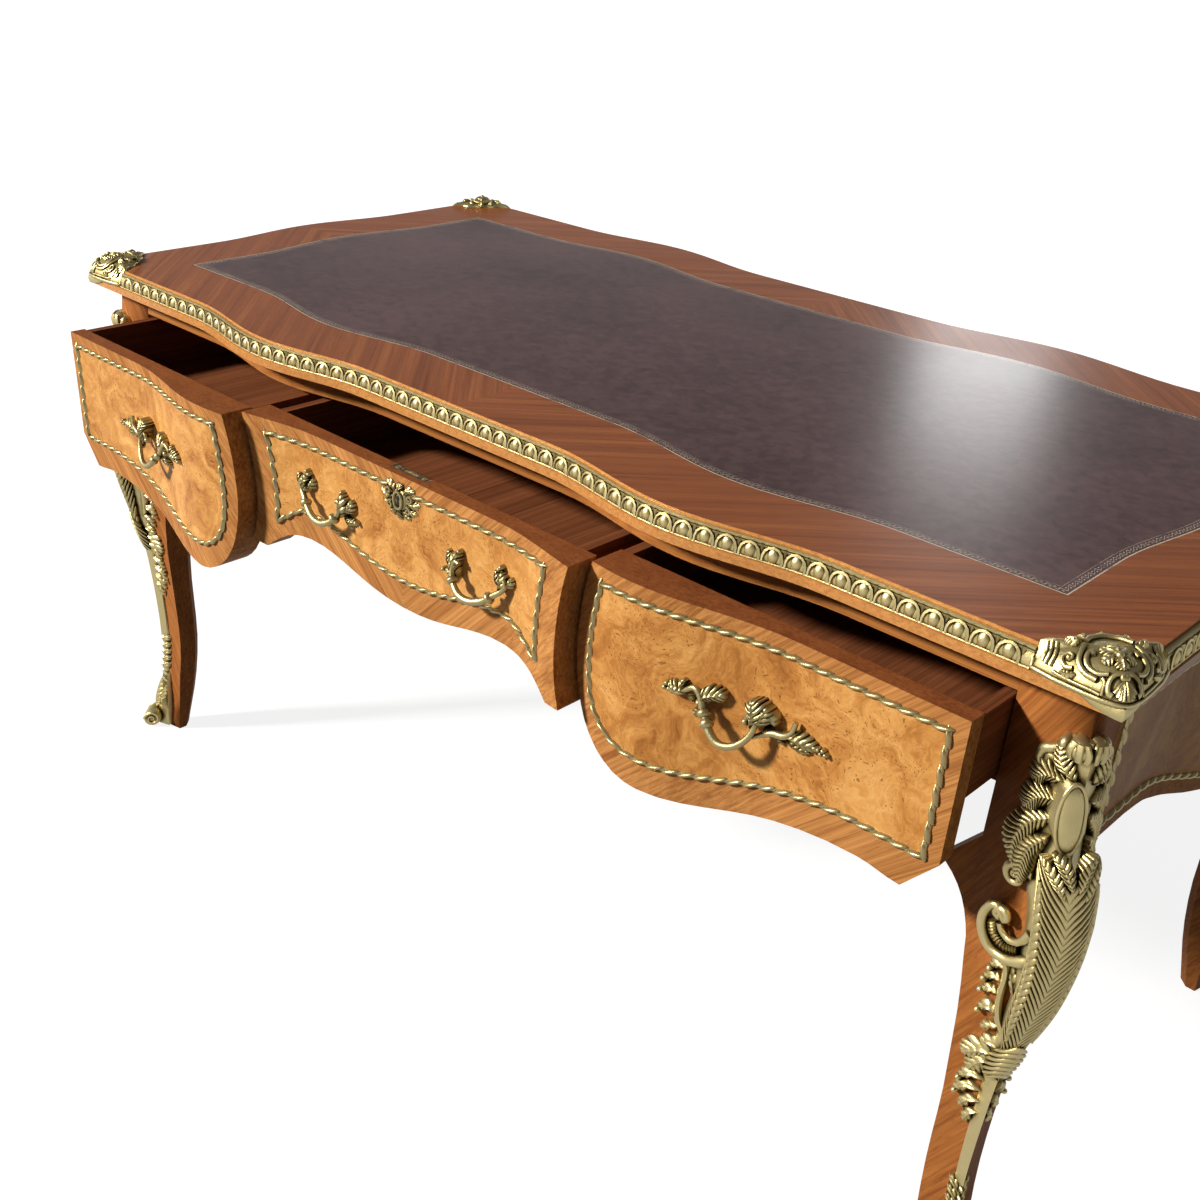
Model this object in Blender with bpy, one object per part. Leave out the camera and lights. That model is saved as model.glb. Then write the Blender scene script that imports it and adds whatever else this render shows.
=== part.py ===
"""Bureau plat: a flat writing desk with a crossbow front, three drawers and cabriole legs.

Sizes are in metres and +Z is up. The drawers open towards -Y, and +X is to the sitter's right.
The three drawers stand partly open, and each one slides along Y on its own runners.
"""
import math

import bmesh
import bpy
from mathutils import Matrix, Vector
from mathutils.geometry import interpolate_bezier

# Overall sizes of the desk
DESK_HEIGHT = 0.780
TOP_WIDTH = 1.534
TOP_DEPTH = 0.738

# Swells of the plan: two cusps on the long sides, one bow on each end
CUSP_X = 0.328
CUSP_RISE = 0.0255
CUSP_SPREAD = 0.180
BOW_RISE = 0.020
BOW_SPREAD = 0.174
SWELL_FACETS = 16

# Fits
SEAT_GAP = 0.0003
TRIM_GAP = 0.0005
MOUNT_GAP = 0.0011
PARTING_GAP = 0.006
LEG_CLEARANCE = 0.0025
HEADROOM = 0.0035
GUIDE_GAP = 0.003
BOLT_GAP = 0.0006

# Top board, its lip, leather and brass edge
TOP_THICKNESS = 0.031
LIP_HEIGHT = 0.009
LIP_OVERHANG = 0.011
EDGE_REVEAL = 0.003
LEATHER_END_MARGIN = 0.094
LEATHER_LONG_MARGIN = 0.095
LEATHER_THICKNESS = 0.002
BAND_DEPTH = 0.0095
BAND_SWELL = 0.0015
BAND_FILLET = 0.0045
CLASP_REACH = 0.071
CLASP_SKIRT = 0.016
CLASP_DOME = 0.0095

# Frieze
FRIEZE_SETBACK = 0.0205
FRONT_THICKNESS = 0.0205
APRON_THICKNESS = 0.019
RAIL_HEIGHT = 0.0290
RAIL_DEPTH = 0.070

# Lower outline of the fronts, as distances from the centre and depths below their top edge
DIVISION_X = 0.276
WAIST_BOW = 0.0165
WAIST_DEPTH = 0.103
TIP_BOW = 0.005
TIP_DEPTH = 0.164
LOBE_OFFSET = 0.083
LOBE_DEPTH = 0.224
LOBE_ROUND = 0.038
ARCH_FROM_END = 0.078
ARCH_DEPTH = 0.180
TOE_FROM_END = 0.032
TOE_DEPTH = 0.185
CHAMFER_DEPTH = 0.145
FOOT_LENGTH = 0.026
FOOT_DEPTH = 0.167
CENTRE_ARCH_OFFSET = 0.106
CENTRE_ARCH_DEPTH = 0.136
CENTRE_DEPTH = 0.160
END_APRON_DEPTH = 0.158
END_APRON_DROP = 0.043
END_APRON_SPREAD = 0.200

# Rope beads
BEAD_RADIUS = 0.0034
BEAD_TOP = 0.016
BEAD_END = 0.016
BEAD_INNER = 0.025
BEAD_BOTTOM = 0.035
BEAD_CENTRE_END = 0.036
BEAD_APRON_END = 0.014
BEAD_APRON_BOTTOM = 0.021
BEAD_STEP = 0.028

# Drawer boxes and what carries them
BOARD = 0.012
SIDE_HEIGHT = 0.082
SIDE_REVEAL = 0.002
BOTTOM_THICKNESS = 0.006
GROOVE_DEPTH = 0.005
GROOVE_HEIGHT = 0.008
BOX_LENGTH = 0.460
WEB_THICKNESS = 0.016
RUNNER_HEIGHT = 0.0175
RUNNER_WIDTH = 0.026
LEDGE_WIDTH = 0.021

# How far each drawer stands open
LEFT_OPENING = 0.120
CENTRE_OPENING = 0.097
RIGHT_OPENING = 0.068

# Lock of the centre drawer
LOCK_WIDTH = 0.060
LOCK_HEIGHT = 0.042
LOCK_THICKNESS = 0.011
BOLT_WIDTH = 0.022
BOLT_THICKNESS = 0.004
BOLT_LENGTH = 0.024
BOLT_TRAVEL = 0.008
ESCUTCHEON_WIDTH = 0.038
ESCUTCHEON_HEIGHT = 0.044
ESCUTCHEON_THICKNESS = 0.003
KEYHOLE_RADIUS = 0.0035
KEYHOLE_DEPTH = 0.027

# Pulls
PULL_RADIUS = 0.0042
PULL_DEPTH = 0.098
PULL_X = 0.469
SMALL_PULL_DEPTH = 0.0725
SMALL_PULL_X = 0.130
LEAF_THICKNESS = 0.005

# Cabriole leg
LEG_INNER = 0.086
LEG_ROUND = 0.012
LEG_RINGS = 22
HOLLOW_PLACE = 0.45
HOLLOW_SHARE = 0.65
EAR_REACH = 0.034
EAR_THICKNESS = 0.022
EAR_GAP = 0.0025
EAR_FOOT = 0.115
BRACKET_REACH = 0.030
SABOT_HEIGHT = 0.100
MOUNT_TOP_DROP = 0.045
TRIM_FLOOR_GAP = 0.001

# Heights and levels that follow from the sizes above
TOP_UNDERSIDE = DESK_HEIGHT - TOP_THICKNESS
LIP_TOP = TOP_UNDERSIDE + LIP_HEIGHT
BAND_HEIGHT = DESK_HEIGHT - EDGE_REVEAL - LIP_TOP
FRAME_TOP = TOP_UNDERSIDE - SEAT_GAP
DRAWER_TOP = FRAME_TOP - RAIL_HEIGHT - HEADROOM
SIDE_TOP = DRAWER_TOP - SIDE_REVEAL
SIDE_FOOT = SIDE_TOP - SIDE_HEIGHT
RUNNER_TOP = SIDE_FOOT - SEAT_GAP
HALF_WIDTH = TOP_WIDTH / 2
HALF_DEPTH = TOP_DEPTH / 2
LEG_FACE_X = HALF_WIDTH - LEG_INNER
LEG_FACE_Y = HALF_DEPTH - LEG_INNER
FRIEZE_PLANE = HALF_DEPTH - FRIEZE_SETBACK
INNER_PLANE = FRIEZE_PLANE - FRONT_THICKNESS
DRAWER_END_X = LEG_FACE_X - LEG_CLEARANCE
WAIST_X = DIVISION_X - WAIST_BOW
TIP_X = DIVISION_X - TIP_BOW
LOBE_X = DIVISION_X + LOBE_OFFSET
ARCH_X = DRAWER_END_X - ARCH_FROM_END
TOE_X = DRAWER_END_X - TOE_FROM_END
FOOT_X = TIP_X - FOOT_LENGTH
CENTRE_ARCH_X = DIVISION_X - CENTRE_ARCH_OFFSET
WEB_X = (DIVISION_X + WAIST_X) / 2

# Finishes: colour, roughness, metallic
FINISHES = {
    "veneer": ((0.300, 0.115, 0.050), 0.35, 0.0),
    "burr": ((0.560, 0.290, 0.110), 0.35, 0.0),
    "walnut": ((0.420, 0.190, 0.075), 0.40, 0.0),
    "carcass": ((0.200, 0.080, 0.040), 0.65, 0.0),
    "leather": ((0.060, 0.030, 0.035), 0.45, 0.0),
    "brass": ((0.640, 0.500, 0.220), 0.35, 1.0),
    "steel": ((0.350, 0.330, 0.300), 0.40, 1.0),
}


# Scene helpers

def new_collection(name):
    """A collection linked to the scene."""
    group = bpy.data.collections.new(name)
    bpy.context.scene.collection.children.link(group)
    return group


def clear_scene():
    """Remove every object that is already there."""
    for item in list(bpy.data.objects):
        bpy.data.objects.remove(item, do_unlink=True)


clear_scene()
PARTS = new_collection("bureau_plat")
CUTTERS = new_collection("bureau_plat_cutters")


def new_empty(name, parent=None, location=(0.0, 0.0, 0.0)):
    """An empty that carries the pieces of one body."""
    empty = bpy.data.objects.new(name, None)
    empty.location = location
    empty.parent = parent
    PARTS.objects.link(empty)
    return empty


def new_material(name, finish):
    """The Principled material of one piece."""
    colour, roughness, metallic = FINISHES[finish]
    material = bpy.data.materials.new(name)
    material.use_nodes = True
    shader = material.node_tree.nodes["Principled BSDF"]
    shader.inputs["Base Color"].default_value = (*colour, 1.0)
    shader.inputs["Roughness"].default_value = roughness
    shader.inputs["Metallic"].default_value = metallic
    return material


def add_part(name, data, finish, body, smooth=False):
    """One named piece on its body."""
    part = bpy.data.objects.new(name, data)
    part.parent = body
    PARTS.objects.link(part)
    data.materials.clear()
    data.materials.append(new_material(name, finish))
    if smooth and part.type == "MESH":
        data.shade_smooth()
        data.set_sharp_from_angle(angle=math.radians(40))
    return part


def combine(part, data, operation, name):
    """Cut a shape out of a piece, join one to it or keep what they share."""
    cutter = bpy.data.objects.new(part.name + "_" + name, data)
    cutter.parent = part.parent
    cutter.hide_render = True
    cutter.display_type = "WIRE"
    CUTTERS.objects.link(cutter)
    modifier = part.modifiers.new(name, "BOOLEAN")
    modifier.operation = operation
    modifier.object = cutter
    modifier.solver = "EXACT"


# Shape helpers

def swell(distance, spread):
    """A smooth rise from 0 to 1 and back over twice the spread."""
    share = min(abs(distance) / spread, 1.0)
    return 0.5 + 0.5 * math.cos(math.pi * share)


def long_edge(x):
    """Half depth of the top at x, with its two cusps."""
    return HALF_DEPTH + CUSP_RISE * swell(abs(x) - CUSP_X, CUSP_SPREAD)


def short_edge(y):
    """Half width of the top at y, with its bow."""
    return HALF_WIDTH + BOW_RISE * swell(y, BOW_SPREAD)


def stations(low, high, centres, spread):
    """Places along an edge: its two ends and even steps across each swell."""
    places = {low, high}
    for centre in centres:
        for step in range(SWELL_FACETS + 1):
            place = centre - spread + 2 * spread * step / SWELL_FACETS
            if low + SEAT_GAP < place < high - SEAT_GAP:
                places.add(place)
    return sorted(places)


def long_stations(low, high):
    """Places along a long side, close together at its cusps."""
    return stations(low, high, (-CUSP_X, CUSP_X), CUSP_SPREAD)


def short_stations(low, high):
    """Places along an end, close together at its bow."""
    return stations(low, high, (0.0,), BOW_SPREAD)


def bezier(start, first, second, end, count):
    """Points of a cubic curve, without its first point."""
    corners = [Vector((*point, 0.0)) for point in (start, first, second, end)]
    curve = interpolate_bezier(*corners, count + 1)
    return [(point.x, point.y) for point in curve[1:]]


def poly_curve(name, points, cyclic, flat=True):
    """Curve data with one straight-edged spline."""
    curve = bpy.data.curves.new(name, "CURVE")
    curve.dimensions = "2D" if flat else "3D"
    curve.fill_mode = "NONE" if flat else "FULL"
    spline = curve.splines.new("POLY")
    spline.points.add(len(points) - 1)
    for corner, point in zip(spline.points, points):
        corner.co = (*point, 1.0) if len(point) == 3 else (*point, 0.0, 1.0)
    spline.use_cyclic_u = cyclic
    return curve


def curve_mesh(curve):
    """The welded and capped mesh of a curve."""
    holder = bpy.data.objects.new(curve.name, curve)
    CUTTERS.objects.link(holder)
    graph = bpy.context.evaluated_depsgraph_get()
    mesh = bpy.data.meshes.new_from_object(holder.evaluated_get(graph))
    bpy.data.objects.remove(holder, do_unlink=True)
    work = bmesh.new()
    work.from_mesh(mesh)
    bmesh.ops.remove_doubles(work, verts=work.verts, dist=0.00001)
    bmesh.ops.holes_fill(work, edges=work.edges, sides=0)
    bmesh.ops.recalc_face_normals(work, faces=work.faces)
    work.to_mesh(mesh)
    work.free()
    return mesh


# Turns that stand an outline up: its two axes become X and Z, or Y and Z
UPRIGHT = {
    "XY": Matrix.Identity(4),
    "XZ": Matrix(((1, 0, 0, 0), (0, 0, 1, 0), (0, 1, 0, 0), (0, 0, 0, 1))),
    "YZ": Matrix(((0, 0, 1, 0), (1, 0, 0, 0), (0, 1, 0, 0), (0, 0, 0, 1))),
}


def prism(name, points, low, high, plane):
    """A flat outline in one plane, given its thickness between low and high."""
    curve = poly_curve(name, points, True)
    curve.extrude = (high - low) / 2
    mesh = curve_mesh(curve)
    mesh.transform(Matrix.Translation((0.0, 0.0, (low + high) / 2)))
    mesh.transform(UPRIGHT[plane])
    if UPRIGHT[plane].determinant() < 0:
        mesh.flip_normals()
    return mesh


def block(name, low, high):
    """A box between two corners."""
    work = bmesh.new()
    bmesh.ops.create_cube(work, size=1.0)
    size = [top - bottom for bottom, top in zip(low, high)]
    middle = [(top + bottom) / 2 for bottom, top in zip(low, high)]
    bmesh.ops.scale(work, vec=size, verts=work.verts)
    bmesh.ops.translate(work, vec=middle, verts=work.verts)
    mesh = bpy.data.meshes.new(name)
    work.to_mesh(mesh)
    work.free()
    return mesh


def loft(name, rings):
    """A closed skin over rings of equally many points, with a flat cap at each end."""
    work = bmesh.new()
    levels = [[work.verts.new(point) for point in ring] for ring in rings]
    count = len(rings[0])
    for lower, upper in zip(levels, levels[1:]):
        for index in range(count):
            after = (index + 1) % count
            work.faces.new((lower[index], lower[after], upper[after], upper[index]))
    work.faces.new(list(reversed(levels[0])))
    work.faces.new(levels[-1])
    bmesh.ops.recalc_face_normals(work, faces=work.faces)
    mesh = bpy.data.meshes.new(name)
    work.to_mesh(mesh)
    work.free()
    return mesh


def spline_at(knots, where):
    """Values of a smooth curve through knots, whose first number is the place."""
    index = 0
    while index < len(knots) - 2 and where > knots[index + 1][0]:
        index += 1
    before = knots[max(index - 1, 0)]
    start = knots[index]
    end = knots[index + 1]
    after = knots[min(index + 2, len(knots) - 1)]
    span = end[0] - start[0]
    share = (where - start[0]) / span
    values = []
    for column in range(1, len(start)):
        slope_in = (end[column] - before[column]) / (end[0] - before[0]) * span
        slope_out = (after[column] - start[column]) / (after[0] - start[0]) * span
        square = share * share
        cube = square * share
        value = (2 * cube - 3 * square + 1) * start[column] + (cube - 2 * square + share) * slope_in
        value += (3 * square - 2 * cube) * end[column] + (cube - square) * slope_out
        values.append(value)
    return values


# Bodies: the carcass, the three drawers and the lock's bolt
DESK = new_empty("desk")
LEFT = new_empty("left_drawer", DESK, (0.0, -LEFT_OPENING, 0.0))
CENTRE = new_empty("centre_drawer", DESK, (0.0, -CENTRE_OPENING, 0.0))
RIGHT = new_empty("right_drawer", DESK, (0.0, -RIGHT_OPENING, 0.0))
BOLT = new_empty("bolt", CENTRE)


# Top, leather, brass edge and corner clasps

def top_ring(out_x, out_y, height):
    """One level of the top's outline, moved out from the veneered edge."""
    reach = HALF_WIDTH + out_x
    deep = HALF_DEPTH + out_y
    along = long_stations(-HALF_WIDTH, HALF_WIDTH)
    across = short_stations(-HALF_DEPTH, HALF_DEPTH)[1:-1]
    ring = []
    for x in along:
        ring.append((max(-reach, min(reach, x)) if abs(x) < HALF_WIDTH else math.copysign(reach, x),
                     -long_edge(x) - out_y, height))
    for y in across:
        ring.append((short_edge(y) + out_x, max(-deep, min(deep, y)), height))
    for x, y, level in list(ring[:len(along)]):
        ring.append((-x, -y, level))
    for y in across:
        ring.append((-short_edge(y) - out_x, max(-deep, min(deep, -y)), height))
    return ring


def build_top():
    """The top board with its lip and the recess for the leather."""
    recess = DESK_HEIGHT - LEATHER_THICKNESS - SEAT_GAP
    rings = [
        top_ring(LIP_OVERHANG, LIP_OVERHANG, TOP_UNDERSIDE),
        top_ring(LIP_OVERHANG, LIP_OVERHANG, LIP_TOP),
        top_ring(0.0, 0.0, LIP_TOP),
        top_ring(0.0, 0.0, DESK_HEIGHT),
        top_ring(-LEATHER_END_MARGIN, -LEATHER_LONG_MARGIN, DESK_HEIGHT),
        top_ring(-LEATHER_END_MARGIN, -LEATHER_LONG_MARGIN, recess),
    ]
    add_part("top_panel", loft("top_panel", rings), "veneer", DESK)
    end = -LEATHER_END_MARGIN - SEAT_GAP
    long = -LEATHER_LONG_MARGIN - SEAT_GAP
    skin = [top_ring(end, long, recess + SEAT_GAP), top_ring(end, long, DESK_HEIGHT)]
    add_part("leather_inset", loft("leather_inset", skin), "leather", DESK)


def build_mouldings():
    """The brass band round the edge, in four lengths between the clasps."""
    outer = BAND_DEPTH + BAND_SWELL
    outline = [
        (SEAT_GAP, SEAT_GAP),
        (BAND_DEPTH, SEAT_GAP),
        (outer, BAND_HEIGHT * 0.35),
        (BAND_DEPTH, BAND_HEIGHT - BAND_FILLET),
        (BAND_DEPTH - BAND_SWELL * 2, BAND_HEIGHT - BAND_FILLET),
        (BAND_DEPTH - BAND_SWELL * 2, BAND_HEIGHT),
        (SEAT_GAP, BAND_HEIGHT),
    ]
    profile = bpy.data.objects.new("band_profile", poly_curve("band_profile", outline, True))
    profile.hide_render = True
    profile.display_type = "WIRE"
    CUTTERS.objects.link(profile)
    start = CLASP_REACH * CLASP_SPREAD + SEAT_GAP
    front = [(x, -long_edge(x)) for x in long_stations(start - HALF_WIDTH, HALF_WIDTH - start)]
    right = [(short_edge(y), y) for y in short_stations(start - HALF_DEPTH, HALF_DEPTH - start)]
    paths = {
        "edge_moulding_front": front,
        "edge_moulding_right": right,
        "edge_moulding_back": [(-x, -y) for x, y in front],
        "edge_moulding_left": [(-x, -y) for x, y in right],
    }
    for name, path in paths.items():
        curve = poly_curve(name, path, False)
        curve.bevel_mode = "OBJECT"
        curve.bevel_object = profile
        curve.use_fill_caps = True
        mesh = curve_mesh(curve)
        mesh.transform(Matrix.Translation((0.0, 0.0, LIP_TOP)))
        add_part(name, mesh, "brass", DESK)


# Shares of the clasp's outline at each level of its dome
CLASP_SPREAD = 1.02
CLASP_LEVELS = ((0.0, 1.0), (0.55, CLASP_SPREAD), (0.80, 0.97), (0.93, 0.74), (1.0, 0.40))


def clasp_outline():
    """Plan of a corner clasp: inward distances from the corner, scalloped over the top."""
    skirt = CLASP_SKIRT
    half = [
        (CLASP_REACH, skirt * 0.25),
        (CLASP_REACH - skirt * 0.4, -skirt * 0.75),
        (CLASP_REACH * 0.62, -skirt),
        (CLASP_REACH * 0.30, -skirt * 1.05),
        (skirt * 0.35, -skirt * 1.02),
        (-skirt * 0.45, -skirt * 0.80),
    ]
    scallop = [
        (CLASP_REACH * 0.86, CLASP_REACH * 0.15),
        (CLASP_REACH * 0.79, CLASP_REACH * 0.35),
        (CLASP_REACH * 0.62, CLASP_REACH * 0.48),
    ]
    tip = [(CLASP_REACH * 0.57, CLASP_REACH * 0.57)]
    mirrored = [(q, p) for p, q in reversed(half)]
    inner = [(q, p) for p, q in scallop] + tip + list(reversed(scallop))
    return half + mirrored + inner


def build_clasps():
    """A domed clasp over each corner, cut to sit on the top and its edge."""
    foot = LIP_TOP + SEAT_GAP
    rise = DESK_HEIGHT + CLASP_DOME - foot
    middle = CLASP_REACH * 0.36
    for name, side, end in CORNERS:
        rings = []
        for share, spread in CLASP_LEVELS:
            ring = []
            for p, q in clasp_outline():
                x = HALF_WIDTH - middle - (p - middle) * spread
                y = HALF_DEPTH - middle - (q - middle) * spread
                ring.append((side * x, end * y, foot + rise * share))
            rings.append(ring)
        clasp = add_part("corner_clasp_" + name, loft("corner_clasp_" + name, rings), "brass", DESK)
        reach = CLASP_REACH * 2
        low = (side * HALF_WIDTH - reach, end * HALF_DEPTH - reach, TOP_UNDERSIDE)
        high = (side * HALF_WIDTH + reach, end * HALF_DEPTH + reach, DESK_HEIGHT + SEAT_GAP)
        low, high = list(low), list(high)
        edge = (side * (HALF_WIDTH + SEAT_GAP), end * (HALF_DEPTH + SEAT_GAP))
        for axis, sign in ((0, side), (1, end)):
            if sign > 0:
                high[axis] = edge[axis]
            else:
                low[axis] = edge[axis]
        combine(clasp, block("corner", low, high), "DIFFERENCE", "seat")


CORNERS = (
    ("front_left", -1, -1),
    ("front_right", 1, -1),
    ("back_left", -1, 1),
    ("back_right", 1, 1),
)


# Cabriole legs with their mounts. Each knot holds a height, then inward distances from the corner
# of the top to the leg's outer edge and to its inner faces.

def leg_knots():
    """The leg's bent outline, its upper part hung from the top and its foot set from the floor."""
    return [
        (0.0, 0.0067, 0.0450),
        (0.040, 0.0120, 0.0515),
        (0.090, 0.0200, 0.0595),
        (0.170, 0.0265, 0.0660),
        (FRAME_TOP - 0.469, 0.0240, 0.0660),
        (FRAME_TOP - 0.369, 0.0165, 0.0700),
        (FRAME_TOP - 0.279, 0.0075, 0.0800),
        (FRAME_TOP - 0.189, 0.0, LEG_INNER),
        (FRAME_TOP - 0.089, 0.0130, LEG_INNER),
        (FRAME_TOP, FRIEZE_SETBACK, LEG_INNER),
    ]


def leg_section(height):
    """Outer edge, flush line and inner face of the leg, straight between two of its rings."""
    step = height / FRAME_TOP * LEG_RINGS
    below = min(int(step), LEG_RINGS - 1)
    sections = []
    for ring in (below, below + 1):
        outer, inner = spline_at(leg_knots(), FRAME_TOP * ring / LEG_RINGS)
        sections.append((outer, max(outer, FRIEZE_SETBACK), min(inner, LEG_INNER)))
    share = step - below
    return [low + (high - low) * share for low, high in zip(*sections)]


def place(side, end, p, q, height):
    """A point at inward distances p and q from one corner of the top."""
    return (side * (HALF_WIDTH - p), end * (HALF_DEPTH - q), height)


def face_at(section, p):
    """How far in the leg's face lies at distance p along it: it is hollow next to the edge."""
    outer, flush, inner = section
    knee = outer + (inner - outer) * HOLLOW_PLACE
    sunk = outer + (flush - outer) * HOLLOW_SHARE
    if p < knee:
        return outer + (sunk - outer) * (p - outer) / (knee - outer)
    return sunk + (flush - sunk) * (p - knee) / (inner - knee)


def leg_ring(side, end, height):
    """One cross-section of the leg."""
    section = leg_section(height)
    outer, flush, inner = section
    knee = outer + (inner - outer) * HOLLOW_PLACE
    sunk = face_at(section, knee)
    half = [(knee, sunk), (inner, flush), (inner, inner - LEG_ROUND)]
    outline = [(outer, outer)] + half + [(q, p) for p, q in reversed(half)]
    return [place(side, end, p, q, height) for p, q in outline]


def leg_edge(height):
    """How far the leg's inner faces lie from the corner, a hair inside its surface."""
    return leg_section(height)[2] - SEAT_GAP


def ear_outline(side):
    """The leg's bracket under the chamfered drawer end, in X and Z."""
    drop = TOE_DEPTH - CHAMFER_DEPTH
    slope = math.hypot(TOE_FROM_END, drop)
    shift_x = EAR_GAP * drop / slope
    shift_z = EAR_GAP * TOE_FROM_END / slope
    tip = (TOE_X + shift_x, DRAWER_TOP - TOE_DEPTH - shift_z)
    top = (LEG_FACE_X + LEG_ROUND, tip[1] + (LEG_FACE_X + LEG_ROUND - tip[0]) * drop / TOE_FROM_END)
    foot_z = DRAWER_TOP - CHAMFER_DEPTH - EAR_FOOT
    foot = (HALF_WIDTH - leg_edge(foot_z), foot_z)
    below = (tip[0] + EAR_REACH * 0.12, tip[1] - EAR_REACH * 0.12)
    curve = bezier(below, (foot[0] - EAR_REACH * 0.5, below[1] - EAR_REACH * 0.45),
                   (foot[0] - EAR_REACH * 0.2, foot[1] + EAR_REACH), foot, 6)
    points = [top, tip, below] + curve + [(foot[0] + LEG_ROUND, foot[1])]
    return [(side * x, z) for x, z in points]


def bracket_outline(end):
    """The small round bracket under the end apron, in Y and Z."""
    top = DRAWER_TOP - END_APRON_DEPTH - SEAT_GAP
    tip = LEG_FACE_Y - BRACKET_REACH
    foot_z = top - BRACKET_REACH * 1.6
    foot = HALF_DEPTH - leg_edge(foot_z)
    curve = bezier((tip, top), (tip + BRACKET_REACH * 0.6, top), (foot, foot_z + BRACKET_REACH * 0.6),
                   (foot, foot_z), 6)
    corners = [(LEG_FACE_Y + LEG_ROUND, top), (tip, top)] + curve + [(foot + LEG_ROUND, foot_z)]
    return [(end * y, z) for y, z in corners]


def build_legs():
    """Four legs, each with a bracket towards the drawers and one towards the end apron."""
    for name, side, end in CORNERS:
        heights = [FRAME_TOP * step / LEG_RINGS for step in range(LEG_RINGS + 1)]
        rings = [leg_ring(side, end, height) for height in heights]
        leg = add_part("leg_" + name, loft("leg_" + name, rings), "walnut", DESK, smooth=True)
        face = sorted((end * (FRIEZE_PLANE - SEAT_GAP), end * (FRIEZE_PLANE - EAR_THICKNESS)))
        combine(leg, prism("ear", ear_outline(side), *face, "XZ"), "UNION", "ear")
        flank = HALF_WIDTH - FRIEZE_SETBACK
        face = sorted((side * (flank - SEAT_GAP), side * (flank - APRON_THICKNESS)))
        combine(leg, prism("bracket", bracket_outline(end), *face, "YZ"), "UNION", "bracket")


def mount_knots():
    """Knee mount: a height, its half width along each face and its thickness."""
    top = FRAME_TOP - MOUNT_TOP_DROP
    return [
        (SABOT_HEIGHT + TRIM_GAP, 0.0080, 0.0045),
        (SABOT_HEIGHT + 0.060, 0.0075, 0.0040),
        (FRAME_TOP - 0.492, 0.0095, 0.0045),
        (FRAME_TOP - 0.425, 0.0150, 0.0060),
        (FRAME_TOP - 0.395, 0.0360, 0.0085),
        (FRAME_TOP - 0.365, 0.0300, 0.0085),
        (FRAME_TOP - 0.325, 0.0480, 0.0125),
        (FRAME_TOP - 0.262, 0.0600, 0.0175),
        (FRAME_TOP - 0.207, 0.0480, 0.0220),
        (FRAME_TOP - 0.135, 0.0340, 0.0170),
        (FRAME_TOP - 0.086, 0.0340, 0.0120),
        (top - 0.012, 0.0290, 0.0130),
        (top, 0.0130, 0.0080),
    ]


def sabot_knots():
    """Toe mount: its scroll stands out from the foot near the floor."""
    return [
        (TRIM_FLOOR_GAP, 0.0200, 0.0130),
        (0.012, 0.0230, 0.0260),
        (0.026, 0.0240, 0.0230),
        (0.040, 0.0230, 0.0120),
        (0.062, 0.0210, 0.0080),
        (0.080, 0.0150, 0.0075),
        (SABOT_HEIGHT, 0.0110, 0.0055),
    ]


def trim_ring(side, end, height, width, thickness):
    """Cross-section of a mount that wraps the leg's outer edge."""
    section = leg_section(height)
    outer = section[0]
    edge = outer + width
    middle = outer + width * 0.5
    lift = MOUNT_GAP + thickness * 0.35
    half = [
        (edge, face_at(section, edge) - MOUNT_GAP),
        (edge, face_at(section, edge) - lift),
        (middle, face_at(section, middle) - MOUNT_GAP - thickness),
    ]
    crest = outer - MOUNT_GAP - thickness * 0.8
    seat = outer - MOUNT_GAP
    outline = half + [(crest, crest)] + [(q, p) for p, q in reversed(half)] + [(seat, seat)]
    return [place(side, end, p, q, height) for p, q in outline]


def build_trim(kind, knots):
    """A mount on each leg, lofted from its foot to its head with two rings to each of the leg's."""
    low, high = knots[0][0], knots[-1][0]
    pitch = FRAME_TOP / LEG_RINGS / 2
    steps = [pitch * step for step in range(2 * LEG_RINGS)]
    levels = [low] + [level for level in steps if low + pitch / 3 < level < high - pitch / 3] + [high]
    for name, side, end in CORNERS:
        rings = [trim_ring(side, end, height, *spline_at(knots, height)) for height in levels]
        title = kind + "_" + name
        add_part(title, loft(title, rings), "brass", DESK, smooth=True)


# Outlines of the drawer fronts

def parting_x(depth):
    """The bowed line between two fronts: its distance from the centre at a depth."""
    if depth < WAIST_DEPTH:
        share = (WAIST_DEPTH - depth) / WAIST_DEPTH
        return WAIST_X + WAIST_BOW * share * share
    share = (depth - WAIST_DEPTH) / (TIP_DEPTH - WAIST_DEPTH)
    return WAIST_X + (TIP_X - WAIST_X) * share * share


def parting_line(top, tip, shift):
    """Points down the parting line, as distance and depth."""
    return [(parting_x(top + (tip - top) * step / 9) + shift, top + (tip - top) * step / 9)
            for step in range(10)]


def side_lower(inner, bottom):
    """Lower edge of a side front, from the tip of the parting line to the arch near its end."""
    tip = TIP_DEPTH - bottom
    start = (parting_x(tip) + inner, tip)
    lean = parting_x(tip + SEAT_GAP) - parting_x(tip - SEAT_GAP)
    run = Vector((lean, 2 * SEAT_GAP)).normalized() * LOBE_ROUND
    lobe = (LOBE_X, LOBE_DEPTH - bottom)
    arch = (ARCH_X, ARCH_DEPTH - bottom)
    reach = ARCH_X - LOBE_X
    points = bezier(start, (start[0] + run.x, start[1] + run.y), (lobe[0] - LOBE_ROUND, lobe[1]), lobe, 7)
    points += bezier(lobe, (lobe[0] + reach * 0.33, lobe[1]), (arch[0] - reach * 0.42, arch[1]), arch, 9)
    return points


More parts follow.
